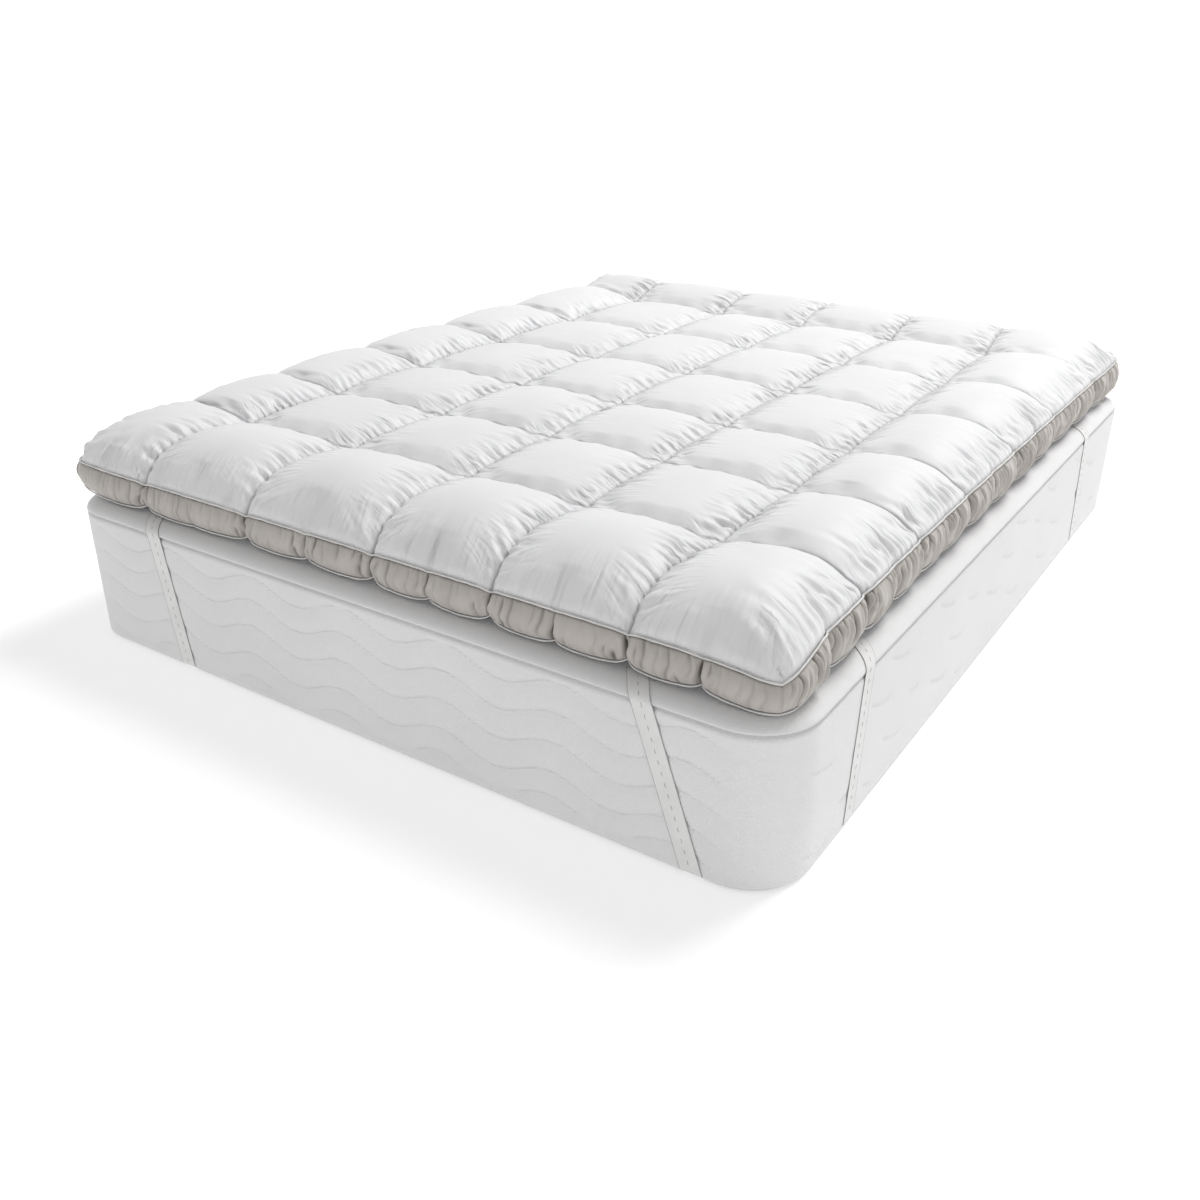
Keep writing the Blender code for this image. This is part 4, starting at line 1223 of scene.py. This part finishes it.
# %% Stretch knit of the mattress
knit = Cloth("mattress_knit_white", (0.84, 0.84, 0.845), 0.8, 0.15)
knit.drift("Object", (3, 3, 3), (0.69, 0.688, 0.690), (0.715, 0.713, 0.715))
loops = knit.combine(*(knit.threads(260, 'X', math.radians(turn)) for turn in (35, -35)))
quilted = knit.step(knit.marked("off_line"), 0.0002, 0.0034)
knit.bumps((knit.noise("Object", (55, 55, 55)), 0.0015, 0.25), (quilted, 0.0018, 0.5),
           (loops, 0.0008, 0.45))
# The quilting lines are darker: partly the thread sewn along them, partly painted shade in their
# troughs.
knit.darken(quilted, (0.655, 0.655, 0.66))
# Painted shade: a thin dark line in the crease of the taped seam.
knit.darken(knit.step(knit.marked("off_seam"), 0.0004, 0.0022), (0.38, 0.38, 0.385))
# Painted shadow: the knit is darkened in its lowest few millimetres, where the mattress meets the
# floor.
knit.darken(knit.step(knit.marked("off_floor"), 0.002, 0.0075), (0.36, 0.36, 0.36))
give(mattress, knit.material)
print("cloths:", len(bpy.data.materials))

# %% [markdown]
# ## Which piece stands for which solid
# Every piece rides on the one body, and the solids that it stands for are hidden. A band is
# longer than its side of the rim, because it is gathered.

# %% Attaching the pieces and hiding their solids
def stand_for(piece, slot, *solids):
    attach(piece, "root")
    if solids:
        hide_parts(*solids)


stand_for(quilt, "down_proof_cotton", "topper_body")
stand_for(mattress, "mattress_knit", "mattress")
stand_for(piping_over, "piping_cotton", "piping_top")
stand_for(piping_under, "piping_cotton", "piping_bottom")
for side_name, band in bands.items():
    stand_for(band, "gusset_cotton", f"gusset_{side_name}")
for strap_name, (band, stitches, length) in straps.items():
    stand_for(band, "woven_elastic", f"strap_{strap_name}")
    for row_of_stitches in stitches:
        stand_for(row_of_stitches, "woven_elastic")

# %% [markdown]
# ## Floor and light
# The photograph was taken on a pure white sweep. The floor here is a wide disc whose edge
# curves up, so that it is white behind the bed from every side. The sky is a plain soft white,
# and one broad lamp from the right and behind lights the crowns and leaves the front in shade.
# The sweep ends below the view from some sides, so a white dome stands behind it. Only the
# camera sees the dome, so it adds no light.

# %% Floor
FLOOR_RADIUS, SWEEP_RADIUS, WALL_HEIGHT = 7.0, 1.6, 1.2


def white_stage(name, shade, shine, glow):
    """Matt white that shines a little, for what isn't part of the bed."""
    paper = bpy.data.materials.new(name)
    paper.use_nodes = True
    for socket, value in (("Base Color", (shade, shade, shade, 1)), ("Roughness", 0.9),
                          ("Specular IOR Level", shine), ("Emission Color", (1, 1, 1, 1)),
                          ("Emission Strength", glow)):
        paper.node_tree.nodes["Principled BSDF"].inputs[socket].default_value = value
    return paper


bpy.ops.object.select_all(action='DESELECT')
bpy.ops.mesh.primitive_circle_add(vertices=96, radius=FLOOR_RADIUS, fill_type='NGON')
floor = bpy.context.object
floor.name = "floor"
bpy.ops.object.mode_set(mode='EDIT')
bpy.ops.mesh.select_all(action='SELECT')
bpy.ops.mesh.select_mode(type='EDGE')
bpy.ops.mesh.region_to_loop()
radius, level = FLOOR_RADIUS, 0.0
for turn in np.radians(np.arange(15, 91, 15)).tolist():
    next_radius = FLOOR_RADIUS + SWEEP_RADIUS * math.sin(turn)
    next_level = SWEEP_RADIUS * (1 - math.cos(turn))
    bpy.ops.mesh.extrude_edges_move(TRANSFORM_OT_translate={"value": (0, 0, next_level - level)})
    bpy.ops.transform.resize(value=(next_radius / radius, next_radius / radius, 1),
                             center_override=(0, 0, 0))
    radius, level = next_radius, next_level
bpy.ops.mesh.extrude_edges_move(TRANSFORM_OT_translate={"value": (0, 0, WALL_HEIGHT)})
bpy.ops.object.mode_set(mode='OBJECT')
bpy.ops.object.shade_smooth()
floor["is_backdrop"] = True
give(floor, white_stage("white_paper", 0.70, 0.1, 0.455))
print("floor reaches", round(radius, 1), "m")

# %% A white dome that only the camera sees
DOME_RADIUS = 14.0

bpy.ops.object.select_all(action='DESELECT')
bpy.ops.mesh.primitive_uv_sphere_add(segments=64, ring_count=32, radius=DOME_RADIUS)
dome = bpy.context.object
dome.name = "white_dome"
bpy.ops.object.mode_set(mode='EDIT')
bpy.ops.mesh.select_all(action='SELECT')
bpy.ops.mesh.bisect(plane_co=(0, 0, -0.5), plane_no=(0, 0, 1), clear_inner=True)
bpy.ops.object.mode_set(mode='OBJECT')
bpy.ops.object.shade_smooth()
dome.visible_diffuse = dome.visible_glossy = dome.visible_shadow = False
dome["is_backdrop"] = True
give(dome, white_stage("white_glow", 0.0, 0.0, 1.0))
print("dome reaches", round(dome.dimensions.x / 2, 1), "m")

# %% Light
SKY_STRENGTH = 0.50
LAMP_PLACE, LAMP_SIZE, LAMP_ENERGY = mathutils.Vector((1.35, 3.7, 6.0)), 2.9, 408

world = bpy.data.worlds.new("soft_sky")
bpy.context.scene.world = world
world.use_nodes = True
world.node_tree.nodes["Background"].inputs["Color"].default_value = (1.0, 1.0, 1.0, 1)
world.node_tree.nodes["Background"].inputs["Strength"].default_value = SKY_STRENGTH
bpy.ops.object.light_add(type='AREA', location=LAMP_PLACE,
                         rotation=(-LAMP_PLACE).to_track_quat('-Z', 'Y').to_euler())
lamp = bpy.context.object
lamp.name = "broad_lamp"
lamp.data.shape, lamp.data.size, lamp.data.energy = 'SQUARE', LAMP_SIZE, LAMP_ENERGY
bpy.context.scene.view_settings.view_transform = 'Standard'
print("lamp is", round(LAMP_PLACE.length, 1), "m away")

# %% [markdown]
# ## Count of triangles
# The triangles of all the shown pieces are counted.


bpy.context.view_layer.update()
triangles = sum(len(face.vertices) - 2 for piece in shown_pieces() for face in piece.data.polygons)
print("triangles:", triangles)
